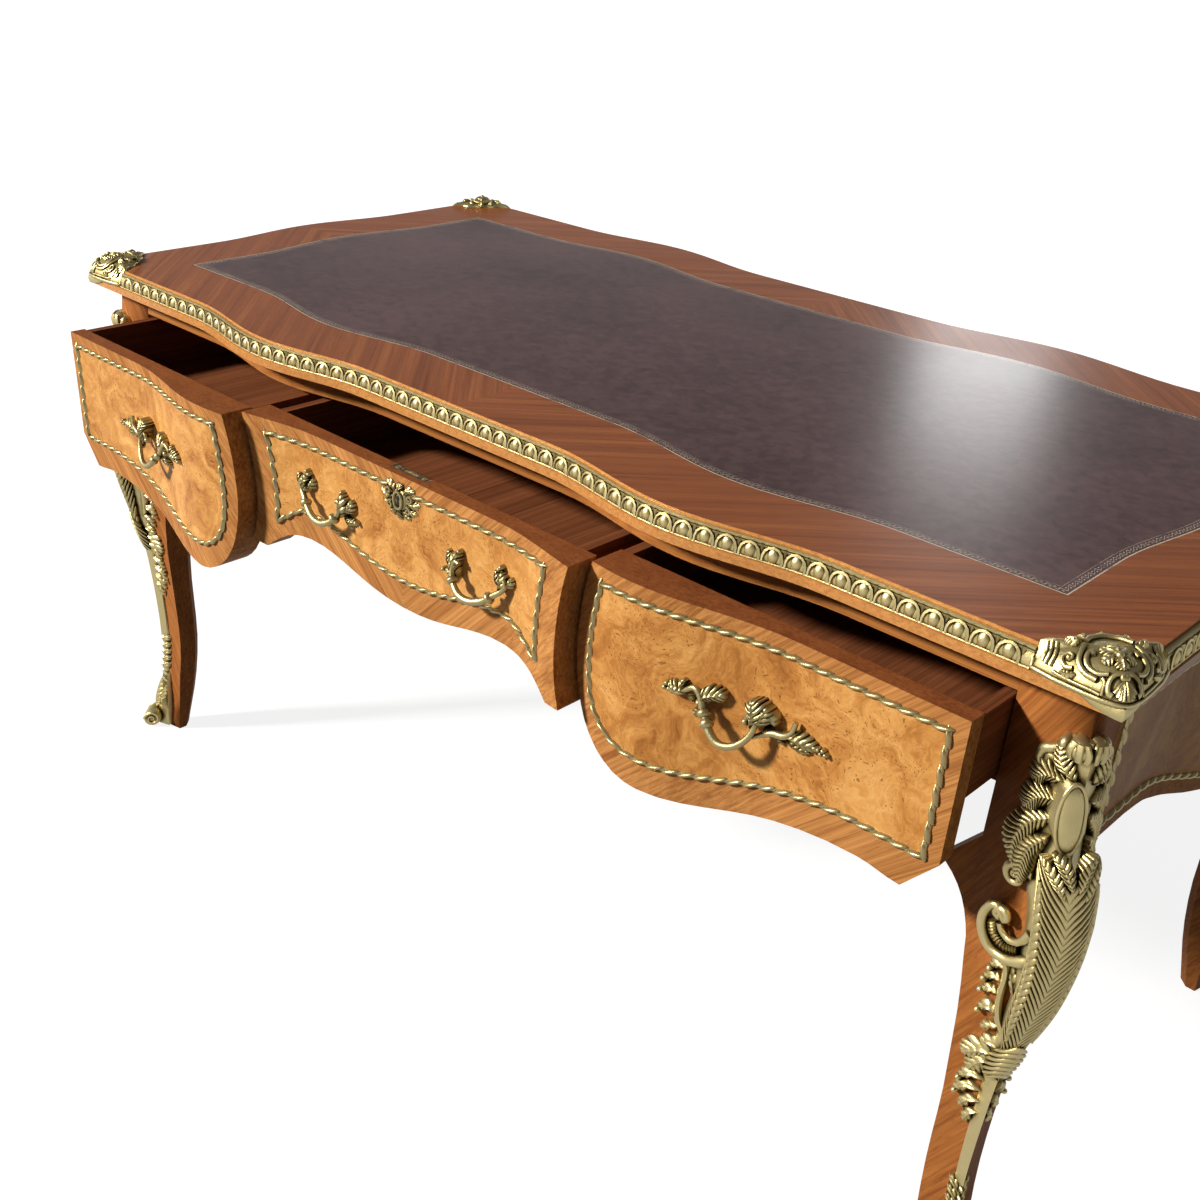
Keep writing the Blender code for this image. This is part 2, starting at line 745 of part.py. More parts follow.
def centre_lower(bottom):
    """Lower edge of half the centre front, from its arch to the middle."""
    arch = (CENTRE_ARCH_X, CENTRE_ARCH_DEPTH - bottom)
    middle = (0.0, CENTRE_DEPTH - bottom)
    return arch, bezier(arch, (arch[0] * 0.62, arch[1]), (arch[0] * 0.45, middle[1]), middle, 8)


def chamfered_end():
    """The toe and the chamfer at the outer end of a side front."""
    arch = (ARCH_X, ARCH_DEPTH)
    toe = (TOE_X, TOE_DEPTH)
    rise = TOE_X - ARCH_X
    return bezier(arch, (arch[0] + rise * 0.4, arch[1]), (toe[0] - rise * 0.4, toe[1]), toe, 4) + [
        (DRAWER_END_X, CHAMFER_DEPTH)]


def centre_foot():
    """From the pointed foot of the centre front up to its arch."""
    foot = (FOOT_X, FOOT_DEPTH)
    arch = (CENTRE_ARCH_X, CENTRE_ARCH_DEPTH)
    run = foot[0] - arch[0]
    return [foot] + bezier(foot, (foot[0] - run * 0.35, foot[1] - run * 0.30),
                           (arch[0] + run * 0.45, arch[1]), arch, 7)


def side_outline():
    """A side drawer's front, for the right-hand one."""
    parting = parting_line(0.0, TIP_DEPTH, PARTING_GAP / 2)
    return parting + side_lower(PARTING_GAP / 2, 0.0) + chamfered_end() + [(DRAWER_END_X, 0.0)]


def half_to_whole(half):
    """Mirror a half outline that ends at the centre."""
    return half + [(-x, depth) for x, depth in reversed(half[:-1])]


def centre_outline():
    """The centre drawer's front."""
    half = parting_line(0.0, TIP_DEPTH, -PARTING_GAP / 2) + centre_foot() + centre_lower(0.0)[1]
    return half_to_whole(half)


def back_outline():
    """The back apron, one board with the outline of the three fronts."""
    lower = [(parting_x(TIP_DEPTH), TIP_DEPTH)] + side_lower(0.0, 0.0) + chamfered_end()
    top = DRAWER_TOP - FRAME_TOP
    end = LEG_FACE_X - SEAT_GAP
    half = [(end, top), (end, CHAMFER_DEPTH)] + list(reversed(lower[:-1]))
    half += centre_foot() + centre_lower(0.0)[1]
    return half_to_whole(half)


def raised(outline):
    """Turn depths below the drawers' top edge into heights."""
    return [(x, DRAWER_TOP - depth) for x, depth in outline]


def flipped(outline, sign):
    """The left-hand twin of an outline."""
    return [(sign * x, z) for x, z in outline]


# Long boards with a swelled face

def frieze_y(x):
    """Distance of the frieze's face from the desk's middle plane."""
    return long_edge(x) - FRIEZE_SETBACK


def end_x(y):
    """Distance of an end apron's face from the desk's middle plane."""
    return short_edge(y) - FRIEZE_SETBACK


def swelled_board(name, outline, inner, end, finish, body):
    """A board cut to an outline in X and Z: a swelled face outside and a flat one inside."""
    xs = [x for x, z in outline]
    zs = [z for x, z in outline]
    low, high = min(xs) - BOARD, max(xs) + BOARD
    plan = [(x, end * frieze_y(x)) for x in long_stations(low, high)]
    plan += [(high, end * inner), (low, end * inner)]
    board = add_part(name, prism(name, plan, min(zs) - BOARD, max(zs) + BOARD, "XY"), finish, body)
    depth = FRIEZE_PLANE + CUSP_RISE + BOARD
    faces = sorted((0.0, end * depth))
    combine(board, prism(name + "_outline", outline, *faces, "XZ"), "INTERSECT", "outline")
    return board


def end_apron_bottom(y):
    """Height of an end apron's lower edge."""
    return DRAWER_TOP - END_APRON_DEPTH - END_APRON_DROP * swell(y, END_APRON_SPREAD)


def even_steps(low, high, longest):
    """Even places from low to high, no further apart than the longest step."""
    count = max(1, math.ceil((high - low) / longest))
    return [low + (high - low) * step / count for step in range(count + 1)]


def build_aprons():
    """The back apron, one board, and an apron at each end between the legs."""
    swelled_board("back_apron", raised(back_outline()), INNER_PLANE, 1, "burr", DESK)
    reach = LEG_FACE_Y - SEAT_GAP
    lower = [(y, end_apron_bottom(y)) for y in even_steps(-reach, reach, BEAD_STEP * 1.5)]
    outline = lower + [(reach, FRAME_TOP), (-reach, FRAME_TOP)]
    inner = HALF_WIDTH - FRIEZE_SETBACK - APRON_THICKNESS
    deep = reach + BOARD
    for name, side in (("side_apron_left", -1), ("side_apron_right", 1)):
        plan = [(side * end_x(y), y) for y in short_stations(-deep, deep)]
        plan += [(side * inner, deep), (side * inner, -deep)]
        low = DRAWER_TOP - END_APRON_DEPTH - END_APRON_DROP - BOARD
        board = add_part(name, prism(name, plan, low, FRAME_TOP + BOARD, "XY"), "burr", DESK)
        faces = sorted((0.0, side * (HALF_WIDTH + BOW_RISE + BOARD)))
        combine(board, prism(name + "_outline", outline, *faces, "YZ"), "INTERSECT", "outline")


# Rope beads

def bead_tube(name, points, cyclic, body):
    """A brass bead along a line."""
    curve = poly_curve(name, points, cyclic, flat=False)
    curve.bevel_depth = BEAD_RADIUS
    curve.bevel_resolution = 0
    curve.use_fill_caps = True
    return add_part(name, curve_mesh(curve), "brass", body)


def thinned(points, step):
    """Fill long runs of a path with even points."""
    filled = []
    for start, end in zip(points, points[1:] + points[:1]):
        length = math.hypot(end[0] - start[0], end[1] - start[1])
        count = max(1, round(length / step))
        for index in range(count):
            share = index / count
            filled.append((start[0] + (end[0] - start[0]) * share,
                           start[1] + (end[1] - start[1]) * share))
    return filled


def side_bead_path():
    """The bead frame of a side front, for the right-hand one."""
    end = DRAWER_END_X - BEAD_END
    inner = parting_line(BEAD_TOP, TIP_DEPTH - BEAD_BOTTOM, BEAD_INNER)[::2]
    lower = side_lower(BEAD_INNER, BEAD_BOTTOM)
    corner = (end, ARCH_DEPTH - BEAD_BOTTOM + SEAT_GAP)
    return thinned(inner + lower + [corner, (end, BEAD_TOP)], BEAD_STEP)


def centre_bead_path():
    """The bead frame of the centre front, broken at the escutcheon."""
    tip = TIP_DEPTH - BEAD_BOTTOM - BEAD_RADIUS
    ends = parting_line(BEAD_TOP, tip, -BEAD_CENTRE_END)[::2]
    arch, lower = centre_lower(BEAD_BOTTOM)
    corner = ends[-1]
    run = corner[0] - arch[0]
    rise = bezier(corner, (corner[0] - run * 0.3, corner[1] - BEAD_RADIUS), (arch[0] + run * 0.5, arch[1]),
                  arch, 4)
    start = [(ESCUTCHEON_WIDTH / 2 + BEAD_RADIUS, BEAD_TOP)]
    half = thinned(start + ends + rise + lower, BEAD_STEP)
    half = half[:half.index(lower[-1]) + 1]
    return half_to_whole(half)


def on_front(path, end):
    """Lay a path of distances and depths on a swelled face."""
    stand = BEAD_RADIUS + TRIM_GAP
    return [(x, end * (frieze_y(x) + stand), DRAWER_TOP - depth) for x, depth in path]


def build_carcass_beads():
    """Bead frames on the back and on both ends."""
    side = side_bead_path()
    mirrored = [(-x, depth) for x, depth in side]
    bead_tube("back_bead_left", on_front(mirrored, 1), True, DESK)
    bead_tube("back_bead_right", on_front(side, 1), True, DESK)
    middle = centre_bead_path()
    gap = middle[-1][0] - middle[0][0]
    bridge = [(middle[-1][0] - gap * step / 3, BEAD_TOP) for step in (1, 2)]
    bead_tube("back_bead_centre", on_front(middle + bridge, 1), True, DESK)
    reach = LEG_FACE_Y - BEAD_APRON_END
    top = DRAWER_TOP - BEAD_TOP
    frame = [(y, end_apron_bottom(y) + BEAD_APRON_BOTTOM) for y in even_steps(-reach, reach, BEAD_STEP)]
    frame = thinned(frame + [(reach, top), (-reach, top)], BEAD_STEP)
    stand = BEAD_RADIUS + TRIM_GAP
    for name, sign in (("side_bead_left", -1), ("side_bead_right", 1)):
        bead_tube(name, [(sign * (end_x(y) + stand), y, z) for y, z in frame], True, DESK)


# Frame inside the carcass

def build_frame():
    """The rail over the drawers, two dividers with ledges and a runner at each end."""
    end = LEG_FACE_X - SEAT_GAP
    back = -FRIEZE_PLANE + RAIL_DEPTH
    plan = [(x, -frieze_y(x) + SEAT_GAP) for x in long_stations(-end, end)] + [(end, back), (-end, back)]
    rail_low = FRAME_TOP - RAIL_HEIGHT
    rail = add_part("front_top_rail", prism("rail", plan, rail_low, FRAME_TOP, "XY"), "walnut", DESK)
    width = BOLT_WIDTH / 2 + BOLT_GAP * 2
    thick = BOLT_THICKNESS / 2 + BOLT_GAP * 2
    deep = BOLT_TRAVEL + BOLT_GAP * 2
    mortise = block("mortise", (-width, bolt_y() - thick, rail_low - BOLT_TRAVEL),
                    (width, bolt_y() + thick, rail_low + deep))
    combine(rail, mortise, "DIFFERENCE", "mortise")
    front = -INNER_PLANE + SEAT_GAP * 3
    rear = INNER_PLANE - SEAT_GAP
    low = RUNNER_TOP - RUNNER_HEIGHT
    notch = back + SEAT_GAP
    web = [(front, low), (rear, low), (rear, FRAME_TOP), (notch, FRAME_TOP),
           (notch, rail_low - SEAT_GAP), (front, rail_low - SEAT_GAP)]
    half = WEB_THICKNESS / 2
    for name, side in (("drawer_divider_left", -1), ("drawer_divider_right", 1)):
        middle = side * WEB_X
        divider = add_part(name, prism(name, web, middle - half, middle + half, "YZ"), "carcass", DESK)
        reach = half + LEDGE_WIDTH
        ledge = block("ledge", (middle - reach, front, low), (middle + reach, rear, RUNNER_TOP))
        combine(divider, ledge, "UNION", "ledge")
    for name, side in (("outer_runner_left", -1), ("outer_runner_right", 1)):
        faces = sorted((side * (LEG_FACE_X - SEAT_GAP), side * (LEG_FACE_X - RUNNER_WIDTH)))
        add_part(name, block(name, (faces[0], front, low), (faces[1], rear, RUNNER_TOP)), "carcass", DESK)


# Drawer boxes

def drawer_side(name, outer, inward, body):
    """A side board with the groove that holds the bottom; inward is the sign towards the box."""
    inner = outer + inward * BOARD
    seat = inner - inward * GROOVE_DEPTH
    low = SIDE_FOOT + GROOVE_HEIGHT
    high = low + BOTTOM_THICKNESS + SEAT_GAP * 2
    outline = [(outer, SIDE_FOOT), (inner, SIDE_FOOT), (inner, low), (seat, low),
               (seat, high), (inner, high), (inner, SIDE_TOP), (outer, SIDE_TOP)]
    start = -INNER_PLANE + SEAT_GAP
    add_part(name, prism(name, outline, start, start + BOX_LENGTH, "XZ"), "carcass", body)


def drawer_box(title, low, high, body):
    """Two grooved sides, a back and a bottom let into the grooves."""
    drawer_side(title + "_side_left", low, 1, body)
    drawer_side(title + "_side_right", high, -1, body)
    start = -INNER_PLANE + SEAT_GAP
    rear = start + BOX_LENGTH
    floor = SIDE_FOOT + GROOVE_HEIGHT + SEAT_GAP
    lid = floor + BOTTOM_THICKNESS
    left = low + BOARD
    right = high - BOARD
    back = block("back", (left + SEAT_GAP, rear - BOARD, lid + SEAT_GAP), (right - SEAT_GAP, rear, SIDE_TOP))
    add_part(title + "_back", back, "carcass", body)
    tongue = GROOVE_DEPTH - SEAT_GAP
    bottom = block("bottom", (left - tongue, start, floor), (right + tongue, rear, lid))
    add_part(title + "_bottom", bottom, "carcass", body)


# Pulls. Each knot holds a place along the bar, then where it lies across, up and out from the front.
LARGE_PULL = (
    (0.00, -0.080, 0.001, 0.0050),
    (0.14, -0.060, 0.009, 0.0070),
    (0.26, -0.042, 0.006, 0.0110),
    (0.38, -0.026, -0.008, 0.0180),
    (0.52, -0.006, -0.0205, 0.0260),
    (0.66, 0.014, -0.017, 0.0240),
    (0.76, 0.025, -0.002, 0.0130),
    (0.87, 0.047, 0.000, 0.0075),
    (1.00, 0.080, -0.002, 0.0050),
)
SMALL_PULL = (
    (0.00, -0.042, 0.014, 0.0050),
    (0.20, -0.034, 0.001, 0.0120),
    (0.45, -0.014, -0.021, 0.0230),
    (0.65, 0.010, -0.024, 0.0250),
    (0.85, 0.031, -0.006, 0.0140),
    (1.00, 0.037, 0.010, 0.0050),
)
# Leaves of a pull: where each lies, its half length, half width, turn in degrees and lift
LARGE_LEAVES = (
    (-0.062, 0.006, 0.022, 0.010, -14.0, 0.0),
    (0.062, -0.002, 0.021, 0.009, -6.0, 0.0),
    (0.021, 0.010, 0.014, 0.010, 105.0, 0.004),
)
SMALL_LEAVES = (
    (-0.039, 0.013, 0.013, 0.010, 70.0, 0.0),
    (0.037, 0.006, 0.017, 0.011, 82.0, 0.0),
)
LEAF_POINTS = 14
PULL_POINTS = 20


def leaf_outline(length, width):
    """A lobed leaf, pointed at one end."""
    points = []
    for index in range(LEAF_POINTS):
        angle = 2 * math.pi * index / LEAF_POINTS
        lobe = 1.0 + 0.10 * math.cos(angle * LEAF_POINTS / 2)
        taper = 1.0 - 0.35 * math.cos(angle)
        points.append((length * math.cos(angle), width * lobe * taper * math.sin(angle)))
    return points


def build_pull(name, knots, leaves, centre, depth, sign, body):
    """A cast pull: a scrolled bar that stands out between leaves lying on the front."""
    height = DRAWER_TOP - depth

    def laid(across, up, out):
        x = centre + sign * across
        return (x, -frieze_y(x) - out, height + up)

    path = [laid(*spline_at(knots, step / PULL_POINTS)) for step in range(PULL_POINTS + 1)]
    curve = poly_curve(name, path, False, flat=False)
    curve.bevel_depth = PULL_RADIUS
    curve.bevel_resolution = 1
    curve.use_fill_caps = True
    pull = add_part(name, curve_mesh(curve), "brass", body)
    for index, (across, up, length, width, turn, lift) in enumerate(leaves):
        angle = math.radians(turn)
        outline = []
        for along, wide in leaf_outline(length, width):
            outline.append((across + along * math.cos(angle) - wide * math.sin(angle),
                            up + along * math.sin(angle) + wide * math.cos(angle)))
        lower = TRIM_GAP + lift
        rings = [[laid(u, v, out) for u, v in outline] for out in (lower, lower + LEAF_THICKNESS)]
        combine(pull, loft("leaf", rings), "UNION", "leaf_" + str(index))


# Drawers

def build_side_drawer(title, sign, body):
    """A side drawer: front, bead, pull and box."""
    outline = flipped(raised(side_outline()), sign)
    swelled_board(title + "_front", outline, INNER_PLANE, -1, "burr", body)
    path = [(sign * x, depth) for x, depth in side_bead_path()]
    bead_tube(title + "_bead", on_front(path, -1), True, body)
    build_pull(title + "_pull", LARGE_PULL, LARGE_LEAVES, sign * PULL_X, PULL_DEPTH, sign, body)
    inner = WEB_X + WEB_THICKNESS / 2 + GUIDE_GAP
    edges = sorted((sign * inner, sign * DRAWER_END_X))
    drawer_box(title, *edges, body)


def bolt_y():
    """Where the bolt runs, inside the lock, when the drawer is shut."""
    return -INNER_PLANE - LOCK_THICKNESS / 2


def lock_box(grow):
    """The lock's case, or the pocket for it in the front."""
    half = LOCK_WIDTH / 2 + grow
    back = -INNER_PLANE + (BOARD if grow else -SEAT_GAP)
    low = (-half, -INNER_PLANE - LOCK_THICKNESS - grow, DRAWER_TOP - LOCK_HEIGHT - grow)
    high = (half, back, DRAWER_TOP + (BOARD if grow else -SEAT_GAP))
    return block("lock", low, high)


def keyhole(radius, stretch):
    """A round hole with a slot below it."""
    points = []
    for index in range(12):
        angle = 2 * math.pi * index / 12
        drop = stretch if math.sin(angle) < -0.9 else 0.0
        points.append((radius * math.cos(angle), radius * math.sin(angle) - drop))
    return points


def cartouche():
    """The lobed outline of the escutcheon."""
    points = []
    for index in range(32):
        angle = 2 * math.pi * index / 32
        lobe = 0.90 + 0.10 * math.cos(6 * angle)
        points.append((ESCUTCHEON_WIDTH / 2 * lobe * math.cos(angle),
                       ESCUTCHEON_HEIGHT / 2 * lobe * math.sin(angle)))
    return points


def build_lock():
    """The lock let into the centre front, its sliding bolt and the escutcheon outside."""
    case = add_part("lock_case", lock_box(0.0), "steel", CENTRE)
    width, thick = BOLT_WIDTH / 2, BOLT_THICKNESS / 2
    rest = DRAWER_TOP - SEAT_GAP * 2
    y = bolt_y()
    bolt = block("bolt", (-width, y - thick, rest - BOLT_LENGTH), (width, y + thick, rest))
    add_part("lock_bolt", bolt, "brass", BOLT)
    gap = BOLT_GAP
    slot = block("slot", (-width - gap, y - thick - gap, rest - BOLT_LENGTH - gap),
                 (width + gap, y + thick + gap, DRAWER_TOP + BOARD))
    combine(case, slot, "DIFFERENCE", "slot")
    height = DRAWER_TOP - KEYHOLE_DEPTH
    outline = [(x, z + height) for x, z in cartouche()]
    hole = [(x, z + height) for x, z in keyhole(KEYHOLE_RADIUS, KEYHOLE_RADIUS * 1.5)]
    face = -FRIEZE_PLANE - TRIM_GAP
    plate = prism("escutcheon", outline, face - ESCUTCHEON_THICKNESS, face, "XZ")
    escutcheon = add_part("escutcheon", plate, "brass", CENTRE)
    through = prism("keyhole", hole, face - BOARD, face + BOARD, "XZ")
    combine(escutcheon, through, "DIFFERENCE", "keyhole")


def build_centre_drawer():
    """The centre drawer: front, bead, two pulls, box and lock."""
    front = swelled_board("centre_drawer_front", raised(centre_outline()), INNER_PLANE, -1, "burr", CENTRE)
    combine(front, lock_box(SEAT_GAP), "DIFFERENCE", "lock_pocket")
    bead_tube("centre_drawer_bead", on_front(centre_bead_path(), -1), False, CENTRE)
    for name, sign in (("centre_drawer_pull_left", -1), ("centre_drawer_pull_right", 1)):
        build_pull(name, SMALL_PULL, SMALL_LEAVES, sign * SMALL_PULL_X, SMALL_PULL_DEPTH, -sign, CENTRE)
    edge = WEB_X - WEB_THICKNESS / 2 - GUIDE_GAP
    drawer_box("centre_drawer", -edge, edge, CENTRE)
    build_lock()


def settle_origin():
    """Move the desk so that its origin is under the middle of its bounding box."""
    bpy.context.view_layer.update()
    graph = bpy.context.evaluated_depsgraph_get()
    lows, highs = [], []
    for part in PARTS.objects:
        if part.type == "EMPTY":
            continue
        shape = part.evaluated_get(graph)
        mesh = shape.to_mesh()
        ys = [(shape.matrix_world @ vertex.co).y for vertex in mesh.vertices]
        lows.append(min(ys))
        highs.append(max(ys))
        shape.to_mesh_clear()
    DESK.location.y = -(min(lows) + max(highs)) / 2
    print("desk centre lies at y =", round(DESK.location.y, 5))


build_top()
build_mouldings()
build_clasps()
build_legs()
build_trim("leg_mount", mount_knots())
build_trim("sabot", sabot_knots())
build_aprons()
build_carcass_beads()
build_frame()
build_side_drawer("left_drawer", -1, LEFT)
build_side_drawer("right_drawer", 1, RIGHT)
build_centre_drawer()
settle_origin()
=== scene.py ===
# %% [markdown]
# # A flat writing desk, dressed for the studio
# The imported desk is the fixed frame: its boards, legs and drawers have their true sizes and joints already.
# This lesson adds what a cabinet maker, a leather gilder and a bronze founder would add: figured veneers,
# a tooled leather, an egg-and-dart edge, rope beads, and the cast mounts of legs, corners and drawers.

# %% Load the desk
import math

import bmesh
import bpy
import numpy as np
from mathutils import Matrix, Vector


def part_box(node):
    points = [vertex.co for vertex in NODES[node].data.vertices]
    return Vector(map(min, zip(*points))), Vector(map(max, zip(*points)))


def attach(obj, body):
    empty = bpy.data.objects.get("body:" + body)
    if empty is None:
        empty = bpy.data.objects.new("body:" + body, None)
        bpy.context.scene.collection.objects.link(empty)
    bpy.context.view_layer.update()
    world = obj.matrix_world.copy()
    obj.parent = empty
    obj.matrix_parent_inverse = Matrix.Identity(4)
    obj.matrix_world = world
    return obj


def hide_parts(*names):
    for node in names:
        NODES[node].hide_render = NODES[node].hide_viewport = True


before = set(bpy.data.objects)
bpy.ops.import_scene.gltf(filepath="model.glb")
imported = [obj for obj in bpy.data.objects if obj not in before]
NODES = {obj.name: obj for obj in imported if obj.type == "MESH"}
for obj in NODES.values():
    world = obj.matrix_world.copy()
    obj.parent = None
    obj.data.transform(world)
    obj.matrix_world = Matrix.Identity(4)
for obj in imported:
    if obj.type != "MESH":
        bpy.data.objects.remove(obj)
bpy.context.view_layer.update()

print("desk nodes:", len(NODES))

# %% [markdown]
# ## The desk's own curves
# Ornament has to lie on the veneer, so this cell repeats the few sizes that shape the desk: the swells of its
# plan, the scrolled edge of its fronts and the bend of its legs. They could be measured from the meshes, but a
# formula gives smooth points at any spacing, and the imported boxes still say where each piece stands.

# %% Sizes of the top and the frieze
DESK_HEIGHT = 0.780
HALF_WIDTH = 0.767
HALF_DEPTH = 0.369
CUSP_X = 0.328
CUSP_RISE = 0.0255
CUSP_SPREAD = 0.180
BOW_RISE = 0.020
BOW_SPREAD = 0.174
SEAT_GAP = 0.0003
FRIEZE_SETBACK = 0.0205
FRONT_THICKNESS = 0.0205
INNER_PLANE = HALF_DEPTH - FRIEZE_SETBACK - FRONT_THICKNESS
LEATHER_END_MARGIN = 0.094
LEATHER_LONG_MARGIN = 0.095
DRAWER_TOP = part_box("left_drawer_front")[1].z
FRAME_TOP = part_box("leg_front_left")[1].z
LIP_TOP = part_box("edge_moulding_front")[0].z - SEAT_GAP
CENTRE_Y = (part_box("leather_inset")[0].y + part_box("leather_inset")[1].y) / 2


def swell(distance, spread):
    """A smooth rise from 0 to 1 and back over twice the spread."""
    share = np.minimum(np.abs(distance) / spread, 1.0)
    return 0.5 + 0.5 * np.cos(np.pi * share)


def long_edge(x):
    """Half depth of the top at x."""
    return HALF_DEPTH + CUSP_RISE * swell(np.abs(x) - CUSP_X, CUSP_SPREAD)


def short_edge(y):
    """Half width of the top at y."""
    return HALF_WIDTH + BOW_RISE * swell(y, BOW_SPREAD)


def drawer_offset(drawer):
    """How far a drawer's shut place has moved along Y, desk's middle included."""
    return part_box(drawer + "_side_left")[0].y - (SEAT_GAP - INNER_PLANE)


OFFSET = {name: drawer_offset(name) for name in ("left_drawer", "centre_drawer", "right_drawer")}
OFFSET["desk"] = CENTRE_Y
print("drawers stand open by", {name: round(CENTRE_Y - y, 3) for name, y in OFFSET.items()})

# %% Where ornament lies on a front, on an end and on the top's corner


def front_lay(body):
    """Lay points (across, height, outward) on a swelled front of one body."""
    def lay(points):
        x, z, out = np.asarray(points, float).T
        return np.stack([x, OFFSET[body] - long_edge(x) + FRIEZE_SETBACK - out, z], -1)
    return lay


def back_lay(points):
    """Lay points (across, height, outward) on the swelled back."""
    x, z, out = np.asarray(points, float).T
    return np.stack([x, CENTRE_Y + long_edge(x) - FRIEZE_SETBACK + out, z], -1)


def end_lay(side):
    """Lay points (across, height, outward) on one end of the desk."""
    def lay(points):
        y, z, out = np.asarray(points, float).T
        return np.stack([side * (short_edge(y) - FRIEZE_SETBACK + out), CENTRE_Y + y, z], -1)
    return lay


def corner_lay(side, end):
    """Lay points (inward in X, inward in Y, above the top) at one corner of the top."""
    def lay(points):
        p, q, out = np.asarray(points, float).T
        return np.stack([side * (HALF_WIDTH - p), CENTRE_Y + end * (HALF_DEPTH - q), DESK_HEIGHT + out], -1)
    return lay


CORNERS = {
    "front_left": (-1, -1),
    "front_right": (1, -1),
    "back_left": (-1, 1),
    "back_right": (1, 1),
}

# %% Where ornament lies on a leg
LEG_INNER = 0.086
LEG_RINGS = 22
HOLLOW_PLACE = 0.45
HOLLOW_SHARE = 0.65
EDGE_ROUND = 0.016
# Height, then distance of the leg's outer edge and of its inner faces from the corner of the top
LEG_KNOTS = (
    (0.0, 0.0067, 0.0450),
    (0.040, 0.0120, 0.0515),
    (0.090, 0.0200, 0.0595),
    (0.170, 0.0265, 0.0660),
    (FRAME_TOP - 0.469, 0.0240, 0.0660),
    (FRAME_TOP - 0.369, 0.0165, 0.0700),
    (FRAME_TOP - 0.279, 0.0075, 0.0800),
    (FRAME_TOP - 0.189, 0.0, LEG_INNER),
    (FRAME_TOP - 0.089, 0.0130, LEG_INNER),
    (FRAME_TOP, FRIEZE_SETBACK, LEG_INNER),
)


def smooth_through(knots, places):
    """A smooth curve through knots, whose first column is the place, read at many places."""
    knots = np.asarray(knots, float)
    where, values = knots[:, 0], knots[:, 1:]
    slopes = np.gradient(values, where, axis=0, edge_order=1)
    slopes[1:-1] = (values[2:] - values[:-2]) / (where[2:] - where[:-2])[:, None]
    places = np.clip(places, where[0], where[-1])
    index = np.clip(np.searchsorted(where, places) - 1, 0, len(where) - 2)
    span = (where[index + 1] - where[index])[:, None]
    t = ((places - where[index])[:, None]) / span
    first = (2 * t**3 - 3 * t**2 + 1) * values[index] + (t**3 - 2 * t**2 + t) * span * slopes[index]
    return first + (3 * t**2 - 2 * t**3) * values[index + 1] + (t**3 - t**2) * span * slopes[index + 1]


RING_Z = np.linspace(0.0, FRAME_TOP, LEG_RINGS + 1)
RING_OUTER, RING_INNER = smooth_through(LEG_KNOTS, RING_Z).T
RING_INNER = np.minimum(RING_INNER, LEG_INNER)
RING_FLUSH = np.maximum(RING_OUTER, FRIEZE_SETBACK)


def leg_lay(side, end):
    """Lay points (distance from the outer edge, height, outward) on a leg.

    Positive distances lie on the face along X, negative ones on the face along Y."""
    def lay(points):
        s, z, out = np.asarray(points, float).T
        outer = np.interp(z, RING_Z, RING_OUTER)
        inner = np.interp(z, RING_Z, RING_INNER)
        flush = np.interp(z, RING_Z, RING_FLUSH)
        along = outer + np.abs(s)
        knee = outer + (inner - outer) * HOLLOW_PLACE
        sunk = outer + (flush - outer) * HOLLOW_SHARE
        near = outer + (sunk - outer) * (along - outer) / (knee - outer)
        far = sunk + (flush - sunk) * (along - knee) / (inner - knee)
        face = np.where(along < knee, near, far)
        turn = np.radians(45) * (1 - np.clip(s / EDGE_ROUND, -1, 1))
        p = np.where(s >= 0, along, face) - out * np.sin(turn)
        q = np.where(s >= 0, face, along) - out * np.cos(turn)
        return np.stack([side * (HALF_WIDTH - p), CENTRE_Y + end * (HALF_DEPTH - q), z], -1)
    return lay


def toe_lay(side, end):
    """Lay points (across the diagonal, height, out along the diagonal) in front of a leg's outer edge."""
    def lay(points):
        t, z, out = np.asarray(points, float).T
        outer = np.interp(z, RING_Z, RING_OUTER)
        p = outer + (t - out) * math.sqrt(0.5)
        q = outer - (t + out) * math.sqrt(0.5)
        return np.stack([side * (HALF_WIDTH - p), CENTRE_Y + end * (HALF_DEPTH - q), z], -1)
    return lay


print("leg at the ankle is", round(1000 * (RING_INNER - RING_OUTER).min()), "mm square")

# %% [markdown]
# ## Shader sums
# A material is a network of nodes, and laying one out by hand in code soon hides the idea. Here a small class
# wraps a socket, so that a sum such as `1 - mask` adds its own Math node. Every other node goes through one
# method: its settings first, then what feeds its sockets.

# %% A socket that can be used in sums


def set_stops(ramp, stops):
    """Set a colour ramp's stops from (place, colour) pairs."""
    while len(ramp.elements) < len(stops):
        ramp.elements.new(1.0)
    for element, (place, colour) in zip(ramp.elements, stops):
        element.position = place
        element.color = (*colour, 1.0)


